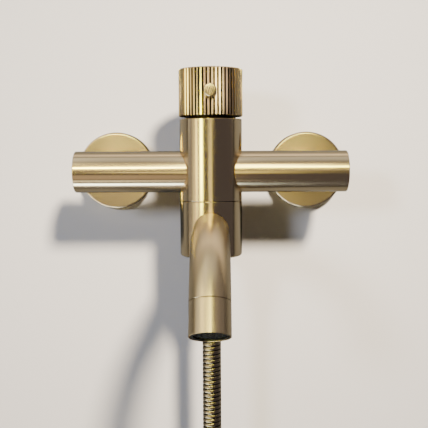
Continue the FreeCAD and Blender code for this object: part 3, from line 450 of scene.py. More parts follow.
def straight_measure(spot: Vector) -> tuple[float, float]:
    """Tell where a point lies on a piece turned about the Z axis.

    Args:
        spot: a point of the piece, before the piece is put in place.

    Returns:
        Turns round the axis, and map units along the profile.
    """
    turns = math.atan2(spot.y, spot.x) / TURN
    return turns % 1.0, (spot.z + math.hypot(spot.x, spot.y)) / MAP_UNIT


def wrap_round(piece: Object, measure: Measure = straight_measure) -> None:
    """Give a piece the turning map.

    Args:
        piece: the piece to map.
        measure: says where a point lies on the piece.
    """
    mesh = piece.data
    chart = mesh.uv_layers.new(name=TURNING_MAP)
    for polygon in mesh.polygons:
        loops = list(polygon.loop_indices)
        spots = [measure(mesh.vertices[mesh.loops[i].vertex_index].co) for i in loops]
        turns = [turn for turn, _ in spots]
        crosses_seam = max(turns) - min(turns) > 0.5
        for i, (turn, along) in zip(loops, spots):
            chart.data[i].uv = (turn + 1 if crosses_seam and turn < 0.5 else turn, along)


@dataclass(frozen=True)
class Lathe:
    """Turns pieces about the Z axis, then sets them in place."""

    sides: int = 192
    soft_edge: float = 0.12 * MM
    soft_degrees: float = 32.0          # edges from this angle on are rounded
    smooth_degrees: float = 50.0
    cut_edge: float = 0.25 * MM
    cut_degrees: float = 20.0
    on_cut: float = 0.01 * MM           # how near the cutter's side a cut edge lies
    cut_weight: int = 90

    def start_ring(self, name: str, radius: float, middle: Sequence[float],
                   filled: bool = False, tilt: float = 0.0) -> Object:
        """Add the ring that a piece starts from, and leave it selected in edit mode.

        Args:
            name: the piece's name.
            radius: the ring's radius.
            middle: the ring's centre.
            filled: whether it is a disc.
            tilt: how far it is turned about X.

        Returns:
            The new piece.
        """
        bpy.ops.object.select_all(action="DESELECT")
        bpy.ops.mesh.primitive_circle_add(
            vertices=self.sides, radius=radius, location=middle, rotation=(tilt, 0, 0),
            fill_type="NGON" if filled else "NOTHING")
        piece = bpy.context.object
        bpy.ops.object.transform_apply(location=True, rotation=True, scale=True)
        piece.name = name
        piece.data.name = name
        bpy.ops.object.mode_set(mode="EDIT")
        bpy.ops.mesh.select_all(action="SELECT")
        return piece

    def draw_along(self, profile: Profile) -> None:
        """Extrude the selected ring from point to point of a profile.

        Args:
            profile: radius and height of each point, the ring's own first.
        """
        for (radius, height), (next_radius, next_height) in zip(profile, profile[1:]):
            bpy.ops.mesh.extrude_region_move(
                TRANSFORM_OT_translate={"value": (0, 0, next_height - height)})
            share = next_radius / radius
            bpy.ops.transform.resize(
                value=(share, share, 1), center_override=(0, 0, next_height))

    def solid(self, name: str, profile: Profile) -> Object:
        """Turn a solid piece, whose profile begins and ends near the axis.

        Args:
            name: the piece's name.
            profile: radius and height of each point, going up.

        Returns:
            The piece, about the Z axis.
        """
        radius, height = profile[0]
        piece = self.start_ring(name, radius, (0, 0, height), filled=True)
        return self.finish(piece, profile)

    def hollow(self, name: str, profile: Profile) -> Object:
        """Turn a piece with a hole through it, whose profile is a closed outline.

        Args:
            name: the piece's name.
            profile: radius and height of each corner of the outline.

        Returns:
            The piece, about the Z axis.
        """
        radius, height = profile[0]
        piece = self.start_ring(name, radius, (0, 0, height))
        return self.finish(piece, [*profile, profile[0]])

    def finish(self, piece: Object, profile: Profile) -> Object:
        """Draw a profile, close the mesh, round its sharp edges a little and map the turning.

        Args:
            piece: the ring that it starts from, in edit mode.
            profile: radius and height of each point.

        Returns:
            The same piece, in object mode.
        """
        self.draw_along(profile)
        close_mesh()
        apply_modifier(
            piece, "BEVEL", width=self.soft_edge, segments=2, limit_method="ANGLE",
            angle_limit=math.radians(self.soft_degrees), use_clamp_overlap=True)
        smooth(piece, self.smooth_degrees)
        wrap_round(piece)
        return piece

    def cut_away(self, piece: Object, cutter: Object,
                 distance: Callable[[Vector], float]) -> None:
        """Take a turned cutter out of a piece and soften the edge that it leaves.

        Args:
            piece: the piece, in place.
            cutter: the cutter, in place; it is used up.
            distance: how far a point lies outside the cutter's round side.
        """
        apply_modifier(piece, "BOOLEAN", object=cutter, operation="DIFFERENCE", solver="EXACT")
        bpy.data.objects.remove(cutter)
        select_only(piece)
        bpy.ops.object.mode_set(mode="EDIT")
        bpy.ops.mesh.select_all(action="DESELECT")
        edit = bmesh.from_edit_mesh(piece.data)
        sharp = math.radians(self.cut_degrees)
        for edge in edit.edges:
            lies_on_cut = all(abs(distance(v.co)) < self.on_cut for v in edge.verts)
            edge.select_set(lies_on_cut and edge.is_manifold and edge.calc_face_angle(0) > sharp)
        bmesh.update_edit_mesh(piece.data)
        bpy.ops.mesh.bevel(offset=self.cut_edge, segments=2, affect="EDGES")
        bpy.ops.object.mode_set(mode="OBJECT")
        smooth(piece, self.smooth_degrees, self.cut_weight)

    def place(self, piece: Object, base: Vector, way: Vector) -> None:
        """Stand a piece on a point, along a direction, with its place in its mesh.

        Args:
            piece: the piece, about the Z axis.
            base: where its origin goes.
            way: where its Z axis points.
        """
        select_only(piece)
        turn = way.to_track_quat("Z", "Y").to_matrix().to_4x4()
        piece.matrix_world = Matrix.Translation(base) @ turn
        bpy.ops.object.transform_apply(location=True, rotation=True, scale=True)


class Places:
    """Sizes and places of the upper body that several sub-assemblies share."""

    def __init__(self) -> None:
        """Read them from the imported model."""
        low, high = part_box("mixer_body")
        self.body_low: float = low.z
        self.body_high: float = high.z
        self.body_radius: float = (high.x - low.x) / 2
        self.axis = Vector((0, (low.y + high.y) / 2, 0))    # at the height of the arms


@dataclass
class WallConnection:
    """Cover, union, nut and tail of one inlet."""

    places: Places
    side: str
    rim_round: float = 1.8 * MM
    rim_steps: int = 5
    wall: float = 1.5 * MM
    collar_depth: float = 6.0 * MM
    collar_wall: float = 2.0 * MM
    hole_radius: float = 13.37 * MM

    def build(self) -> None:
        """Model the cover and dress the rest."""
        low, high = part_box(f"wall_flange_{self.side}")
        radius = (high.x - low.x) / 2
        depth = high.y - low.y
        inside = depth - self.wall
        collar = self.hole_radius + self.collar_wall
        rim = [(radius - self.rim_round * (1 - cosine), depth - self.rim_round * (1 - sine))
               for cosine, sine in quarter_circle(self.rim_steps)]
        lathe = Lathe()
        cover = lathe.hollow(f"cover_{self.side}", [
            (radius - self.wall, 0), (radius, 0), *rim, (self.hole_radius, depth),
            (self.hole_radius, inside - self.collar_depth),
            (collar, inside - self.collar_depth), (collar, inside),
            (radius - self.wall, inside)])
        middle = Vector(((low.x + high.x) / 2, high.y, (low.z + high.z) / 2))
        lathe.place(cover, middle, FRONT)
        seat(cover, Finish.FLAT_TURNED, "mixer", f"wall_flange_{self.side}")
        dress_nodes({
            "union_nut": Finish.SATIN, "wall_union": Finish.MACHINED, "inlet_tail": Finish.SATIN,
            "flange_seal": Finish.RUBBER, "strainer_washer": Finish.RUBBER,
            "check_valve_case": Finish.ACETAL, "check_valve_poppet": Finish.GREY_ACETAL,
            "check_valve_spring": Finish.STEEL}, f"_{self.side}")


@dataclass
class Arm:
    """One round arm with the disc that closes its end."""

    places: Places
    side: str
    chamfer: float = 0.4 * MM
    bore: float = 10.0 * MM
    web: float = 4.0 * MM
    joint_gap: float = 0.05 * MM

    def build(self) -> None:
        """Model the arm, saddle it to the body, and close its end."""
        low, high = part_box(f"arm_{self.side}")
        cap_low, cap_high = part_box(f"arm_end_cap_{self.side}")
        radius = (high.z - low.z) / 2
        reach = max(abs(low.x), abs(high.x))
        cap_radius = (cap_high.z - cap_low.z) / 2
        cap_depth = cap_high.x - cap_low.x
        outward = RIGHT * (1 if self.side == "right" else -1)
        seat_radius = cap_radius + self.joint_gap
        seat_height = reach - cap_depth - self.joint_gap
        web_end = self.places.body_radius + self.web
        lathe = Lathe()
        arm = lathe.solid(f"round_arm_{self.side}", [
            (TINY_RING, 0), (radius, 0), (radius, web_end), (radius, reach - self.chamfer),
            (radius - self.chamfer, reach), (seat_radius, reach), (seat_radius, seat_height),
            (self.bore, seat_height), (self.bore, web_end), (TINY_RING, web_end)])
        lathe.place(arm, self.places.axis, outward)
        self.saddle(arm, lathe)
        seat(arm, Finish.BRUSHED, "mixer", f"arm_{self.side}")
        cap = lathe.solid(f"end_disc_{self.side}", [
            (TINY_RING, reach - cap_depth), (cap_radius, reach - cap_depth),
            (cap_radius, reach), (TINY_RING, reach)])
        lathe.place(cap, self.places.axis, outward)
        seat(cap, Finish.FLAT_TURNED, "mixer", f"arm_end_cap_{self.side}")

    def saddle(self, arm: Object, lathe: Lathe) -> None:
        """Cut the arm's inner end to the body's round side.

        Args:
            arm: the arm, in place.
            lathe: turns the cutter.
        """
        axis = self.places.axis
        radius = self.places.body_radius + self.joint_gap
        cutter = lathe.solid("saddle_cutter", [
            (TINY_RING, -2 * radius), (radius, -2 * radius), (radius, 2 * radius),
            (TINY_RING, 2 * radius)])
        lathe.place(cutter, axis, UP)
        lathe.cut_away(arm, cutter, lambda spot: math.hypot(spot.x, spot.y - axis.y) - radius)


@dataclass
class UpperBody:
    """Upright body that holds the cartridge, with the neck above it painted dark as shade."""

    places: Places
    chamfer: float = 0.35 * MM
    seam_chamfer: float = 0.12 * MM
    socket_radius: float = 13.0 * MM
    socket_depth: float = 10.3 * MM
    port_radius: float = 3.6 * MM
    floor_height: float = 12.0 * MM
    bore: float = 17.55 * MM
    thread_radius: float = 19.0 * MM
    thread_length: float = 6.8 * MM

    def build(self) -> None:
        """Model the body and dress what is inside it."""
        low, high = self.places.body_low, self.places.body_high
        radius = self.places.body_radius
        socket_top = low + self.socket_depth
        thread_end = high - self.thread_length
        lathe = Lathe()
        body = lathe.hollow("upright_body", [
            (self.port_radius, socket_top), (self.socket_radius, socket_top),
            (self.socket_radius, low), (radius - self.seam_chamfer, low),
            (radius, low + self.seam_chamfer), (radius, high - self.chamfer),
            (radius - self.chamfer, high), (self.thread_radius, high),
            (self.thread_radius, thread_end), (self.bore, thread_end),
            (self.bore, self.floor_height), (self.port_radius, self.floor_height)])
        lathe.place(body, self.places.axis, UP)
        seat(body, Finish.BRUSHED, "mixer", "mixer_body")
        dress_nodes({
            "cartridge_nut": Finish.DARK_NECK, "port_gasket": Finish.RUBBER,
            "cartridge_base": Finish.ACETAL, "ceramic_disc_fixed": Finish.CERAMIC,
            "ceramic_disc_moving": Finish.CERAMIC, "cartridge_case": Finish.ACETAL,
            "cartridge_stem": Finish.MACHINED, "stem_seal": Finish.RUBBER})


@dataclass
class Knob:
    """Fluted knob with its lever pin."""

    NAME: ClassVar[str] = "fluted_knob"

    places: Places
    flutes: int = 54
    steps: int = 12                     # points round the outline for each flute
    depth: float = 0.95 * MM
    mouth_share: float = 0.5
    floor_share: float = 1 / 3
    chamfer: float = 0.6 * MM
    top_ring: float = 1.8 * MM          # how far in from the rim the top's first ring lies
    sharp_degrees: float = 20.0
    darkening: float = 3.0              # the painted shade is full at the depth over this
    skirt_radius: float = 19.4 * MM
    skirt_depth: float = 7.8 * MM
    pin_chamfer: float = 0.5 * MM
    pin_seat: float = 1.5 * MM

    def build(self) -> None:
        """Model the knob and the pin, and dress what clamps the knob."""
        low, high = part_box("knob")
        radius = (high.x - low.x) / 2
        self.knob(radius, low.z, high.z)
        self.pin(radius)
        dress_nodes({"knob_insert": Finish.MACHINED, "knob_grub_screw": Finish.STEEL})

    def knob(self, radius: float, low: float, high: float) -> None:
        """Model the knob.

        Args:
            radius: outer radius.
            low: height of its bottom edge.
            high: height of its top.
        """
        lathe = Lathe(self.flutes * self.steps)
        ceiling = low + self.skirt_depth
        inset = radius - self.chamfer
        knob = lathe.start_ring(self.NAME, TINY_RING, (0, 0, ceiling), filled=True)
        lathe.draw_along([
            (TINY_RING, ceiling), (self.skirt_radius, ceiling), (self.skirt_radius, low),
            (inset, low)])
        self.shape_flutes(knob, radius)
        lathe.draw_along([
            (inset, low), (radius, low + self.chamfer), (radius, high - self.chamfer),
            (inset, high), (radius - self.top_ring, high), (TINY_RING, high)])
        close_mesh()
        bpy.ops.object.shade_smooth_by_angle(angle=math.radians(self.sharp_degrees))
        wrap_round(knob)
        # Painted shade mask: full on the flutes' floors and under the knob, none on the lands and the
        # top
        mark = knob.data.attributes.new(FLUTE_SHADE, "FLOAT", "POINT")
        for item, v in zip(mark.data, knob.data.vertices):
            inward = (radius - math.hypot(v.co.x, v.co.y)) / self.depth
            on_top = v.co.z > high - self.chamfer / 2
            item.value = 0.0 if on_top else min(1.0, max(0.0, self.darkening * inward))
        lathe.place(knob, self.places.axis, UP)
        seat(knob, Finish.KNOB, "knob", "knob")

    def shape_flutes(self, knob: Object, radius: float) -> None:
        """Push the flutes' floors in on the selected ring.

        Args:
            knob: the knob, in edit mode with its outer ring selected.
            radius: the knob's outer radius.
        """
        edit = bmesh.from_edit_mesh(knob.data)
        ring = [v for v in edit.verts if v.select]
        pitch = TURN / self.flutes
        mouth, floor = self.mouth_share / 2, self.floor_share / 2
        for v in ring:
            angle = math.atan2(v.co.y, v.co.x) - TURN / 4
            off = abs((angle / pitch + 0.5) % 1.0 - 0.5)
            inward = min(1.0, max(0.0, (mouth - off) / (mouth - floor)))
            share = 1 - inward * self.depth / radius
            v.co.x *= share
            v.co.y *= share
        bmesh.update_edit_mesh(knob.data)

    def pin(self, knob_radius: float) -> None:
        """Model the lever pin.

        Args:
            knob_radius: the knob's outer radius.
        """
        low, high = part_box("lever_pin")
        radius = (high.z - low.z) / 2
        reach = self.places.axis.y - low.y
        foot = knob_radius - self.pin_seat
        lathe = Lathe()
        pin = lathe.solid("round_lever_pin", [
            (TINY_RING, foot), (radius, foot), (radius, reach - self.pin_chamfer),
            (radius - self.pin_chamfer, reach), (TINY_RING, reach)])
        lathe.place(pin, self.places.axis + UP * ((low.z + high.z) / 2), FRONT)
        seat(pin, Finish.PIN, "knob", "lever_pin")


@dataclass
class SpoutHub:
    """Swivelling lower body, on the fixed outlet column."""

    places: Places
    bottom_round: float = 1.8 * MM
    round_steps: int = 6
    bore: float = 11.55 * MM
    counterbore: float = 16.6 * MM
    counterbore_depth: float = 5.0 * MM
    seam_chamfer: float = 0.12 * MM
    socket_gap: float = 0.2 * MM
    socket_depth: float = 0.8 * MM

    def build(self) -> None:
        """Model the hub and dress the column with its rings and nut."""
        low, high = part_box("spout_hub")
        radius = (high.x - low.x) / 2
        step = low.z + self.counterbore_depth
        edge = [(radius - self.bottom_round * (1 - sine),
                 low.z + self.bottom_round * (1 - cosine))
                for cosine, sine in quarter_circle(self.round_steps)]
        lathe = Lathe()
        hub = lathe.hollow("swivel_hub", [
            (self.bore, step), (self.counterbore, step), (self.counterbore, low.z),
            *edge, (radius, high.z - self.seam_chamfer), (radius - self.seam_chamfer, high.z),
            (self.bore, high.z)])
        lathe.place(hub, self.places.axis, UP)
        self.socket(hub, lathe, radius)
        seat(hub, Finish.BRUSHED, "spout", "spout_hub")
        # The slip rings are real parts, made dark grey so that the gap between hub and body stays
        # dark: painted shade in that gap
        dress_nodes({
            "outlet_column": Finish.MACHINED, "hub_nut": Finish.MACHINED,
            "column_seals": Finish.RUBBER, "hub_slip_ring_upper": Finish.GREY_ACETAL,
            "hub_slip_ring_lower": Finish.GREY_ACETAL})

    def socket(self, hub: Object, lathe: Lathe, radius: float) -> None:
        """Sink the shallow socket whose edge draws the fine line round the spout's root.

        Args:
            hub: the hub, in place.
            lathe: turns the cutter.
            radius: the hub's outer radius.
        """
        low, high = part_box("spout_tube")
        tube_radius = (high.x - low.x) / 2
        reach = tube_radius + self.socket_gap
        floor = math.sqrt(radius ** 2 - reach ** 2) - self.socket_depth
        cutter = lathe.solid("socket_cutter", [
            (TINY_RING, floor), (reach, floor), (reach, 2 * radius), (TINY_RING, 2 * radius)])
        middle = self.places.axis + UP * (high.z - tube_radius)
        lathe.place(cutter, middle, FRONT)
        lathe.cut_away(hub, cutter, lambda spot: math.hypot(spot.x, spot.z - middle.z) - reach)


@dataclass
class Spout:
    """Bent tube with its end collar and aerator."""

    places: Places
    sides: int = 160
    bend_from_wall: float = 136.0 * MM
    bend_radius: float = 53.5 * MM
    bend_degrees: float = 63.0
    bend_steps: int = 56
    tube_wall: float = 1.5 * MM
    sharp_degrees: float = 30.0
    seam_chamfer: float = 0.12 * MM
    collar_length: float = 19.9 * MM
    collar_gap: float = 0.3 * MM
    spigot_radius: float = 10.3 * MM
    spigot_length: float = 3.5 * MM
    throat_radius: float = 8.5 * MM
    rim_radius: float = 11.35 * MM
    recess_depth: float = 12.0 * MM

    def __post_init__(self) -> None:
        """Work out the bend's centre, the seam and the spout's end direction."""
        low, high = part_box("spout_tube")
        self.radius = (high.x - low.x) / 2
        self.height = high.z - self.radius
        self.start = Vector((0, high.y, self.height))
        self.bend_start = Vector((0, -self.bend_from_wall, self.height))
        self.bend_centre = self.bend_start - UP * self.bend_radius
        bend = math.radians(self.bend_degrees)
        outward = Vector((0, -math.sin(bend), math.cos(bend)))
        self.way = Vector((0, -math.cos(bend), -math.sin(bend)))
        self.seam = self.bend_centre + outward * self.bend_radius

    def build(self) -> None:
        """Model the tube and the collar, and dress the aerator."""
        self.tube()
        self.collar()
        dress_nodes({"aerator_case": Finish.BLACK_ABS, "aerator_core": Finish.GREY_ACETAL,
                     "aerator_seal": Finish.RUBBER})

    def measure(self, spot: Vector) -> tuple[float, float]:
        """Tell where a point lies on the bent tube.

        Args:
            spot: a point of the tube, in place.

        Returns:
            Turns round the tube, and map units along it.
        """
        if spot.y > self.bend_start.y:
            along = self.start.y - spot.y
            rise = spot.z - self.height
        else:
            arm = spot - self.bend_centre
            straight = self.start.y - self.bend_start.y
            along = straight + math.atan2(-arm.y, arm.z) * self.bend_radius
            rise = math.hypot(arm.y, arm.z) - self.bend_radius
        return (math.atan2(rise, spot.x) / TURN) % 1.0, along / MAP_UNIT

    def tube(self) -> None:
        """Model the tube: a ring drawn straight, spun round the bend and given its wall."""
        lathe = Lathe(self.sides)
        tube = lathe.start_ring("bent_spout", self.radius, self.start, tilt=math.pi / 2)
        bpy.ops.mesh.extrude_region_move(
            TRANSFORM_OT_translate={"value": self.bend_start - self.start})
        bpy.ops.mesh.spin(
            steps=self.bend_steps, angle=-math.radians(self.bend_degrees),
            center=self.bend_centre, axis=(1, 0, 0))
        bpy.ops.transform.translate(value=self.way * -self.seam_chamfer)
        bpy.ops.mesh.extrude_region_move(
            TRANSFORM_OT_translate={"value": self.way * self.seam_chamfer})
        share = (self.radius - self.seam_chamfer) / self.radius
        bpy.ops.transform.resize(value=(share, share, share), center_override=self.seam)
        close_mesh()
        apply_modifier(
            tube, "SOLIDIFY", thickness=self.tube_wall, offset=-1, use_quality_normals=True)
        smooth(tube, self.sharp_degrees)
        wrap_round(tube, self.measure)
        seat(tube, Finish.SOFT_BRUSHED, "spout", "spout_tube")

    def collar(self) -> None:
        """Model the end collar with its spigot and the recess for the aerator."""
        end = self.collar_length
        recess = end - self.recess_depth
        chamfer = self.seam_chamfer
        lathe = Lathe()
        collar = lathe.hollow("spout_end_collar", [
            (self.throat_radius, -self.spigot_length), (self.spigot_radius, -self.spigot_length),
            (self.spigot_radius, self.collar_gap), (self.radius - chamfer, self.collar_gap),
            (self.radius, self.collar_gap + chamfer), (self.radius, end - chamfer),
            (self.radius - chamfer, end), (self.rim_radius, end),
            (self.rim_radius, recess), (self.throat_radius, recess)])
        lathe.place(collar, self.seam, self.way)
        seat(collar, Finish.SOFT_BRUSHED, "spout", "spout_collar")


@dataclass
class ShowerHose:
    """Wound brass hose that hangs from the outlet, with the rest of its length in one coil.

    The photograph shows its first stretch, straight down. The coil lies below the view.
    """

    places: Places
    diameter: float = 13.6 * MM
    groove_depth: float = 0.75 * MM
    rib_pitch: float = 3.16 * MM
    drop_heights: tuple[float, ...] = (-97.6 * MM, -130 * MM, -165 * MM, -197 * MM)
    lead_height: float = -209.16 * MM
    coil_radius: float = 69.0 * MM
    coil_pitch: float = 14.5 * MM
    lead_degrees: float = 60.0
    lead_steps: int = 3
    coil_degrees: float = 1140.0
    coil_steps: int = 50
    end_straight: float = 45.0 * MM
    length: float = 1602.5 * MM
    sides: int = 30
    curve_order: int = 3
    curve_steps: int = 12               # from one control point to the next
    # Height of the strip on each rib, from trough to crest, at even steps along one pitch
    rib_shape: tuple[float, ...] = (0.0, 0.9, 1.0, 1.0, 1.0, 0.9)

    def route(self) -> list[Vector]:
        """Give the control points of the hose's line.

        Returns:
            Points from the ferrule down the drop, through the swing-out, round the coil and
            to the far ferrule.
        """
        axis_y = self.places.axis.y
        points = [Vector((0, axis_y, height)) for height in self.drop_heights]
        lead = math.radians(self.lead_degrees)
        rise = self.coil_pitch / TURN
        step = lead / self.lead_steps
        outer = self.coil_radius / math.cos(step / 2)
        shift = rise * lead / 2
        for k in range(self.lead_steps):
            angle = step * (k + 0.5)
            points.append(Vector((
                self.coil_radius - outer * math.cos(angle), axis_y + shift * (angle / lead) ** 2,
                self.lead_height - outer * math.sin(angle))))
        centre_z = self.lead_height - 2 * self.coil_radius * math.sin(lead)
        whole = math.radians(self.coil_degrees)
        step = whole / self.coil_steps
        outer = self.coil_radius / math.cos(step / 2)
        for k in range(self.coil_steps):
            turned = step * (k + 0.5)
            angle = lead - turned
            points.append(Vector((
                outer * math.cos(angle), axis_y + shift + rise * turned,
                centre_z + outer * math.sin(angle))))
        last = Vector((self.coil_radius, axis_y + shift + rise * whole, centre_z))
        way = Vector((0, rise, -self.coil_radius)).normalized()
        return [*points, last + way * self.end_straight / 2, last + way * self.end_straight]

    def line(self) -> list[Vector]:
        """Draw the route as one smooth curve and read it back.

        Returns:
            Points close together along the hose's centre line.
        """
        route = self.route()
        curve = bpy.data.curves.new("hose_line", "CURVE")
        curve.dimensions = "3D"
        curve.resolution_u = self.curve_steps
        spline = curve.splines.new("NURBS")
        spline.points.add(len(route) - 1)
        for point, place in zip(spline.points, route):
            point.co = (*place, 1.0)
        spline.order_u = self.curve_order
        spline.use_endpoint_u = True
        holder = bpy.data.objects.new("hose_line", curve)
        bpy.context.scene.collection.objects.link(holder)
        drawn = bpy.data.meshes.new_from_object(
            holder.evaluated_get(bpy.context.evaluated_depsgraph_get()))
        points = [v.co.copy() for v in drawn.vertices]
        bpy.data.objects.remove(holder)
        bpy.data.meshes.remove(drawn)
        return points

    def build(self) -> None:
        """Wind the strip along the line, and dress the hose and its fittings."""
        line = self.line()
        hose = self.wind(line)
        seat(hose, Finish.HOSE, "mixer", "hose_drop", "hose_coil", slot="hose_brass")
        fittings = []
        for end in ("top", "bottom"):
            fittings += dress_nodes({
                "hose_nut": Finish.SATIN, "hose_tail": Finish.SATIN,
                "hose_washer": Finish.RUBBER}, f"_{end}")
        fittings += dress_nodes({"hose_tie_upper": Finish.TIE, "hose_tie_lower": Finish.TIE})
        tuple(line[0])
        self.length

    def wind(self, line: list[Vector]) -> Object:
        """Wind the ribbed strip round the line, as one closed helical surface.

        Args:
            line: points close together along the centre line.

        Returns:
            The hose.
        """
        walk = Walk(line)
        per_rib = len(self.rib_shape)
        turns = int(walk.length / self.rib_pitch) - 1
        rings = turns * per_rib
        spare = walk.length - turns * self.rib_pitch
        verts, heights, faces = [], [], []
        for ring in range(rings + 1):
            shape = self.rib_shape[ring % per_rib]
            radius = self.diameter / 2 - self.groove_depth * (1 - shape)
            near_end = min(1.0, ring / per_rib, (rings - ring) / per_rib)
            for side in range(self.sides):
                slope = side / self.sides
                along = ring / per_rib * self.rib_pitch + spare * slope * near_end
                centre, right, up = walk.at(along if ring < rings else walk.length)
                angle = TURN * slope
                verts.append(centre + (right * math.cos(angle) + up * math.sin(angle)) * radius)
                heights.append(shape)
        for ring in range(rings):
            for side in range(self.sides):
                a = ring * self.sides + side
                b = ring * self.sides + (side + 1) % self.sides
                faces.append((a, b, b + self.sides, a + self.sides))
        faces.append(tuple(reversed(range(self.sides))))
        faces.append(tuple(rings * self.sides + side for side in range(self.sides)))
        mesh = bpy.data.meshes.new("shower_hose")
        mesh.from_pydata(verts, [], faces)
        mesh.update()
        mesh.attributes.new(RIB_HEIGHT, "FLOAT", "POINT").data.foreach_set("value", heights)
        hose = bpy.data.objects.new("shower_hose", mesh)
        bpy.context.scene.collection.objects.link(hose)
        select_only(hose)
        bpy.ops.object.mode_set(mode="EDIT")
        bpy.ops.mesh.select_all(action="SELECT")
        bpy.ops.mesh.normals_make_consistent(inside=False)
        bpy.ops.object.mode_set(mode="OBJECT")
        bpy.ops.object.shade_smooth()
        return hose


class Walk:
    """Walks along a line and carries a steady cross direction with it."""

    def __init__(self, line: list[Vector]) -> None:
        """Measure the line and turn the cross direction along it.

        Args:
            line: points along the line.
        """
        self.line = line
        self.marks = [0.0]
        for a, b in zip(line, line[1:]):
            self.marks.append(self.marks[-1] + (b - a).length)
        ways = [(b - a).normalized() for a, b in zip(line, line[1:])]
        ways.append(ways[-1])
        self.ways = [ways[0]] + [(a + b).normalized() for a, b in zip(ways, ways[1:])]
        right = RIGHT
        self.rights = []
        for way in self.ways:
            right = (right - way * right.dot(way)).normalized()
            self.rights.append(right)
        self.step = 0

    @property
    def length(self) -> float:
        """Length of the line."""
        return self.marks[-1]

    def at(self, along: float) -> tuple[Vector, Vector, Vector]:
        """Find a place on the line.

        Args:
            along: distance from its start.

        Returns:
            The point, and two directions square to the line and to each other.
        """
        while self.step > 0 and self.marks[self.step] > along:
            self.step -= 1
        while self.step < len(self.marks) - 2 and self.marks[self.step + 1] < along:
            self.step += 1
        i = self.step
        share = (along - self.marks[i]) / (self.marks[i + 1] - self.marks[i])
        centre = self.line[i].lerp(self.line[i + 1], share)
        way = self.ways[i].lerp(self.ways[i + 1], share).normalized()
        right = self.rights[i].lerp(self.rights[i + 1], share)
        right = (right - way * right.dot(way)).normalized()
        return centre, right, way.cross(right)


@dataclass(frozen=True)
class Bar:
    """A long soft-edged light in the room, as the metal mirrors it.

    An upright bar covers a few degrees of azimuth and runs from one height to another. A level bar
    covers a few degrees of climb, the angle above straight ahead that a view from the side shows,
    and runs from one place on the left or right to another.
    """

    upright: bool
    middle: float       # degrees right of straight ahead, or above it
    half: float         # degrees to each side at full strength
    soft: float         # degrees over which each edge fades
    start: float        # Z or X of the direction, from -1 to 1
    end: float
    strength: float
    colour: str
    fade: float = 0.12  # how far each end fades

    def add(self, tree: NodeTree, room: object, across: Node, along: NodeSocket) -> Node:
        """Add the bar's light to the room's.

        Args:
            tree: the world's node tree.
            room: colour of the room so far, or the node that gives it.
            across: gives the direction's azimuth or climb in degrees.
            along: gives the direction's Z or X.

        Returns:
            The node that gives the colour of the room with the bar.
        """
        shares = []
        for value, middle, half, soft in (
                (across, self.middle, self.half, self.soft),
                (along, (self.start + self.end) / 2, (self.end - self.start) / 2, self.fade)):
            off = add_node(tree, "Math", {0: value, 1: middle}, operation="SUBTRACT")
            distance = add_node(tree, "Math", {0: off}, operation="ABSOLUTE")
            shares.append(add_node(tree, "MapRange", {
                "Value": distance, "From Min": half + soft, "From Max": half},
                interpolation_type="SMOOTHSTEP"))
        share = add_node(tree, "Math", dict(enumerate(shares)), operation="MULTIPLY")
        light = add_node(tree, "VectorMath", {
            0: [self.strength * c for c in linear(self.colour)[:3]], "Scale": share},
            operation="SCALE")
        return add_node(tree, "VectorMath", {0: room, 1: light}, operation="ADD")


def hang_light(name: str, place: Vector, way: Vector, colour: str, watts: float,
               **settings: object) -> Object:
    """Hang an area light.

    Args:
        name: its name.
        place: where it hangs.
        way: direction from what it lights to the light.
        colour: its hex colour.
        watts: its power.
        settings: its shape and size.

    Returns:
        The light's object.
    """
    light = bpy.data.lights.new(name, "AREA")
    for setting, value in settings.items():
        setattr(light, setting, value)
    light.energy = watts
    light.color = linear(colour)[:3]
    holder = bpy.data.objects.new(name, light)
    bpy.context.scene.collection.objects.link(holder)
    holder.location = place
    holder.rotation_mode = "QUATERNION"
    holder.rotation_quaternion = way.to_track_quat("Z", "Y")
    return holder


@dataclass(frozen=True)
class Lamp:
    """A soft round lamp that lights the wall and dull pieces, and that metal doesn't mirror."""

    name: str
    azimuth: float      # degrees right of straight ahead
    elevation: float    # degrees
    size: float
    watts: float
    colour: str
    distance: float = 2.2
    spread: float = 50.0        # degrees

    def hang(self) -> None:
        """Hang the lamp."""
        a, e = math.radians(self.azimuth), math.radians(self.elevation)
        way = Vector((math.sin(a) * math.cos(e), -math.cos(a) * math.cos(e), math.sin(e)))
        holder = hang_light(
            self.name, way * self.distance, way, self.colour, self.watts, shape="DISK",
            size=self.size, spread=math.radians(self.spread))
        holder.visible_glossy = False


@dataclass(frozen=True)
class Panel:
    """A soft panel close to the knob, which only the knob's metal mirrors."""

    azimuth: float      # degrees right of straight ahead, from the body's axis
    width: float        # degrees
    radiance: float
    colour: str
    distance: float = 0.3
    middle: float = 0.084       # height
    tall: float = 0.045

    def hang(self, name: str, axis: Vector, receivers: Collection) -> None:
        """Hang the panel.

        Args:
            name: its name.
            axis: point of the body's axis at the height of the arms.
            receivers: what it lights.
        """
        angle = math.radians(self.azimuth)
        way = Vector((math.sin(angle), -math.cos(angle), 0))
        wide = 2 * self.distance * math.tan(math.radians(self.width / 2))
        holder = hang_light(
            name, axis + way * self.distance + UP * self.middle, way, self.colour,
            self.radiance * math.pi * wide * self.tall, shape="RECTANGLE", size=wide,
            size_y=self.tall)
        holder.visible_camera = False
        holder.light_linking.receiver_collection = receivers


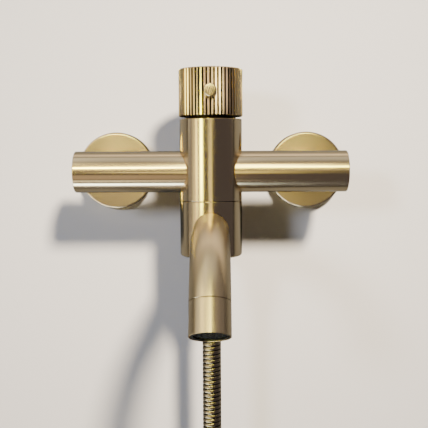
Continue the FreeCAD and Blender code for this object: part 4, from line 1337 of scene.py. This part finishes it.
@dataclass
class Studio:
    """Plain wall and floor, soft lights, and the camera at the photograph's angle."""

    places: Places
    wall_colour: str = "e3ddd3"
    mirrored_wall: str = "5e605f"       # painted reflection: the wall as the metal sees it, darker level with the mixer
    mirrored_top: str = "c4c0b4"        # and lighter well above it
    mirror_change: tuple[float, float] = (0.07, 0.32)
    floor_colour: str = "e4e0d8"
    paint_roughness: float = 0.85
    paint_gloss: float = 0.15
    wall_size: float = 6.0
    floor_size: float = 12.0
    floor_height: float = -1.2
    room_colour: str = "565257"
    fill_colour: str = "dfe1ea"
    fill_strength: float = 0.05
    bars: tuple[Bar, ...] = (
        Bar(True, -35, 3, 3.5, -0.045, 0.06, 34.0, "fcff6c", 0.015),
        Bar(True, -54, 1.5, 4, -0.05, 0.06, 5.5, "fff08c", 0.02),
        Bar(True, -57, 9, 10, -0.95, 0.06, 0.8, "fff0a0", 0.02),
        Bar(True, -36, 14, 8, -0.19, -0.09, 0.4, "fff0a0", 0.02),
        Bar(True, 1, 1.5, 3.5, -0.17, 0.06, 2.0, "fff08c", 0.02),
        Bar(True, -75, 35, 15, -1.0, 0.7, 0.3, "e0dcd4"),
        Bar(True, -80, 14, 12, -0.4, -0.14, 0.25, "fff0b0", 0.05),
        Bar(True, -46, 10, 12, 0.42, 0.6, 3.0, "fff0a0", 0.05),
        Bar(True, 20, 30, 15, 0.42, 0.62, 0.24, "f0dcc8", 0.05),
        Bar(True, 3, 2, 4, 0.52, 0.62, 16.0, "fff8a0", 0.06),
        Bar(False, 62, 18, 10, -1.0, -0.22, 0.9, "f2f0d4", 0.05),
        Bar(False, 58, 14, 8, -0.02, 0.01, 0.9, "f4f2d8", 0.03),
        Bar(False, 62, 18, 10, 0.24, 1.0, 0.18, "f0ecdc", 0.05),
        Bar(False, 38, 12, 5, -0.3, -0.04, 0.7, "fff0b4", 0.03),
        Bar(False, 23.5, 2.5, 2, -0.3, -0.04, 34.0, "fffa90", 0.03),
        Bar(False, 13, 5, 4, -0.3, -0.04, 0.9, "fff0b4", 0.03),
        Bar(False, -2, 2, 2, -0.14, -0.08, 2.4, "fff0b4", 0.02),
        Bar(False, 38, 12, 5, 0.04, 0.2, 0.5, "fff4c0", 0.03),
        Bar(False, 25.5, 3.5, 2, 0.04, 0.2, 18.0, "fcff6c", 0.03),
        Bar(False, 13, 6, 4, 0.04, 0.2, 0.7, "fff0b4", 0.03),
        Bar(True, 0, 180, 1, 1.0, 1.5, 0.78, "f0f1e6", 0.28),
        Bar(False, -28, 8, 8, -0.9, -0.03, 0.6, "f0d8b0", 0.03),
        Bar(False, -51, 3, 5, -0.9, -0.03, 1.3, "f8f0d4", 0.03),
        Bar(False, -73, 4, 4, -0.9, -0.03, 12.0, "dcf0f4", 0.02),
        Bar(False, -84, 4, 6, -0.9, -0.03, 0.8, "dce0e0", 0.03),
    )
    lamps: tuple[Lamp, ...] = (
        Lamp("lamp_right", 21.0, 33.0, 0.3, 11.8, "fff3e2"),
        Lamp("lamp_left", -33.0, 14.0, 0.4, 2.2, "dce6ff"),
    )
    panels: tuple[Panel, ...] = (
        Panel(-92, 24, 6.0, "fff48c", distance=0.18, middle=0.072),
        Panel(-70, 40, 1.2, "ffeca0"),
        Panel(-8, 30, 1.6, "f8dcc0"),
        Panel(26, 34, 8.0, "fff4c0"),
        Panel(56, 24, 1.4, "f0dcc8"),
    )
    camera_place: tuple[float, float, float] = (0.0038, -0.5795, 0.0111)
    camera_pitch: float = 4.6           # degrees down
    camera_yaw: float = -0.19
    camera_roll: float = -0.27
    focal_pixels: float = 720.0
    frame_pixels: float = 428.0
    sensor_mm: float = 36.0
    nearest_seen: float = 0.01

    def build(self) -> None:
        """Set up everything but the camera."""
        self.sheet("plain_wall", self.paint("matt_wall_paint", self.wall_colour, True),
                   size=self.wall_size, rotation=(math.pi / 2, 0, 0))
        self.sheet("pale_floor", self.paint("matt_floor_paint", self.floor_colour, False),
                   size=self.floor_size, location=(0, 0, self.floor_height))
        self.surroundings()
        self.lights()

    def paint(self, name: str, colour: str, is_wall: bool) -> Material:
        """Make the matt paint of the wall or the floor.

        Args:
            name: the material's name.
            colour: its hex colour.
            is_wall: whether metal mirrors it as a painted reflection, darkly level with the mixer and
                lighter above, and it is see-through from behind. Metal doesn't mirror the floor.

        Returns:
            The material.
        """
        material, tree, shader = new_material(name)
        feed(shader, {"Base Color": linear(colour), "Roughness": self.paint_roughness,
                      "Specular IOR Level": self.paint_gloss})
        glossy = add_node(tree, "LightPath").outputs["Is Glossy Ray"]
        clear = add_node(tree, "BsdfTransparent")
        if is_wall:
            # Painted reflection: glossy rays see the wall as a matt colour, darker level with the
            # mixer and lighter above
            spot = add_node(tree, "NewGeometry")
            place = add_node(tree, "SeparateXYZ", {0: spot.outputs["Position"]})
            share = add_node(tree, "MapRange", {
                "Value": place.outputs["Z"], "From Min": self.mirror_change[0],
                "From Max": self.mirror_change[1]}, interpolation_type="SMOOTHSTEP")
            tone = add_node(tree, "Mix", {
                "Factor": share, 6: linear(self.mirrored_wall), 7: linear(self.mirrored_top)},
                data_type="RGBA")
            matt = add_node(tree, "BsdfDiffuse", {"Color": tone.outputs[2]})
            front = add_node(tree, "MixShader", {0: glossy, 1: shader, 2: matt})
            seen = add_node(tree, "MixShader", {0: spot.outputs["Backfacing"], 1: front, 2: clear})
        else:
            seen = add_node(tree, "MixShader", {0: glossy, 1: shader, 2: clear})
        feed(tree.nodes["Material Output"], {"Surface": seen})
        return material

    def sheet(self, name: str, paint: Material, **where: object) -> None:
        """Add a flat piece of the stage.

        Args:
            name: its name.
            paint: its material.
            where: its size and place.
        """
        bpy.ops.object.select_all(action="DESELECT")
        bpy.ops.mesh.primitive_plane_add(**where)
        sheet = bpy.context.object
        sheet.name = name
        sheet.data.materials.append(paint)

    def surroundings(self) -> None:
        """Fill the room round the mixer with soft light that its metal mirrors."""
        world = bpy.data.worlds.new("soft_room")
        bpy.context.scene.world = world
        world.use_nodes = True
        tree = world.node_tree
        tree.nodes.clear()
        way = add_node(tree, "TexCoord").outputs["Generated"]
        split = add_node(tree, "SeparateXYZ", {0: way})
        ahead = add_node(tree, "Math", {0: split.outputs["Y"], 1: -1.0}, operation="MULTIPLY")
        degrees = {}
        for axis in ("X", "Z"):     # azimuth and climb
            angle = add_node(tree, "Math", {0: split.outputs[axis], 1: ahead},
                             operation="ARCTAN2")
            degrees[axis] = add_node(tree, "Math", {0: angle}, operation="DEGREES")
        room = linear(self.room_colour)[:3]
        for bar in self.bars:
            across, along = ("X", "Z") if bar.upright else ("Z", "X")
            room = bar.add(tree, room, degrees[across], split.outputs[along])
        mirrored = add_node(tree, "Background", {"Color": room})
        plain = add_node(tree, "Background", {
            "Color": linear(self.fill_colour), "Strength": self.fill_strength})
        glossy = add_node(tree, "LightPath").outputs["Is Glossy Ray"]
        both = add_node(tree, "MixShader", {0: glossy, 1: plain, 2: mirrored})
        add_node(tree, "OutputWorld", {"Surface": both})

    def lights(self) -> None:
        """Hang the soft lamps at the front, and the knob's panels."""
        for lamp in self.lamps:
            lamp.hang()
        receivers = bpy.data.collections.new("lit_by_knob_panels")
        receivers.objects.link(bpy.data.objects[Knob.NAME])
        for number, panel in enumerate(self.panels):
            panel.hang(f"knob_panel_{number}", self.places.axis, receivers)

    def camera(self) -> None:
        """Set the camera as the photograph was taken."""
        pitch, yaw, roll = (
            math.radians(a) for a in (self.camera_pitch, self.camera_yaw, self.camera_roll))
        ahead = Vector((
            math.sin(yaw) * math.cos(pitch), math.cos(yaw) * math.cos(pitch), -math.sin(pitch)))
        level = Vector((math.cos(yaw), -math.sin(yaw), 0))
        above = level.cross(ahead)
        right = level * math.cos(roll) + above * math.sin(roll)
        up = above * math.cos(roll) - level * math.sin(roll)
        data = bpy.data.cameras.new("camera")
        data.sensor_width = self.sensor_mm
        data.lens = self.focal_pixels / self.frame_pixels * self.sensor_mm
        data.clip_start = self.nearest_seen
        holder = bpy.data.objects.new("camera", data)
        bpy.context.scene.collection.objects.link(holder)
        turn = Matrix((right, up, -ahead)).transposed().to_4x4()
        holder.matrix_world = Matrix.Translation(Vector(self.camera_place)) @ turn
        bpy.context.scene.camera = holder


def main() -> None:
    """Build the mixer's pieces in order, then the studio."""
    logging.basicConfig(level=logging.INFO, format="%(name)s: %(message)s")
    places = Places()
    studio = Studio(places)
    studio.camera()
    ShowerHose(places).build()
    for side in ("left", "right"):
        WallConnection(places, side).build()
        Arm(places, side).build()
    for assembly in (UpperBody, Knob, SpoutHub, Spout):
        assembly(places).build()
    studio.build()


if __name__ == "__main__":
    main()
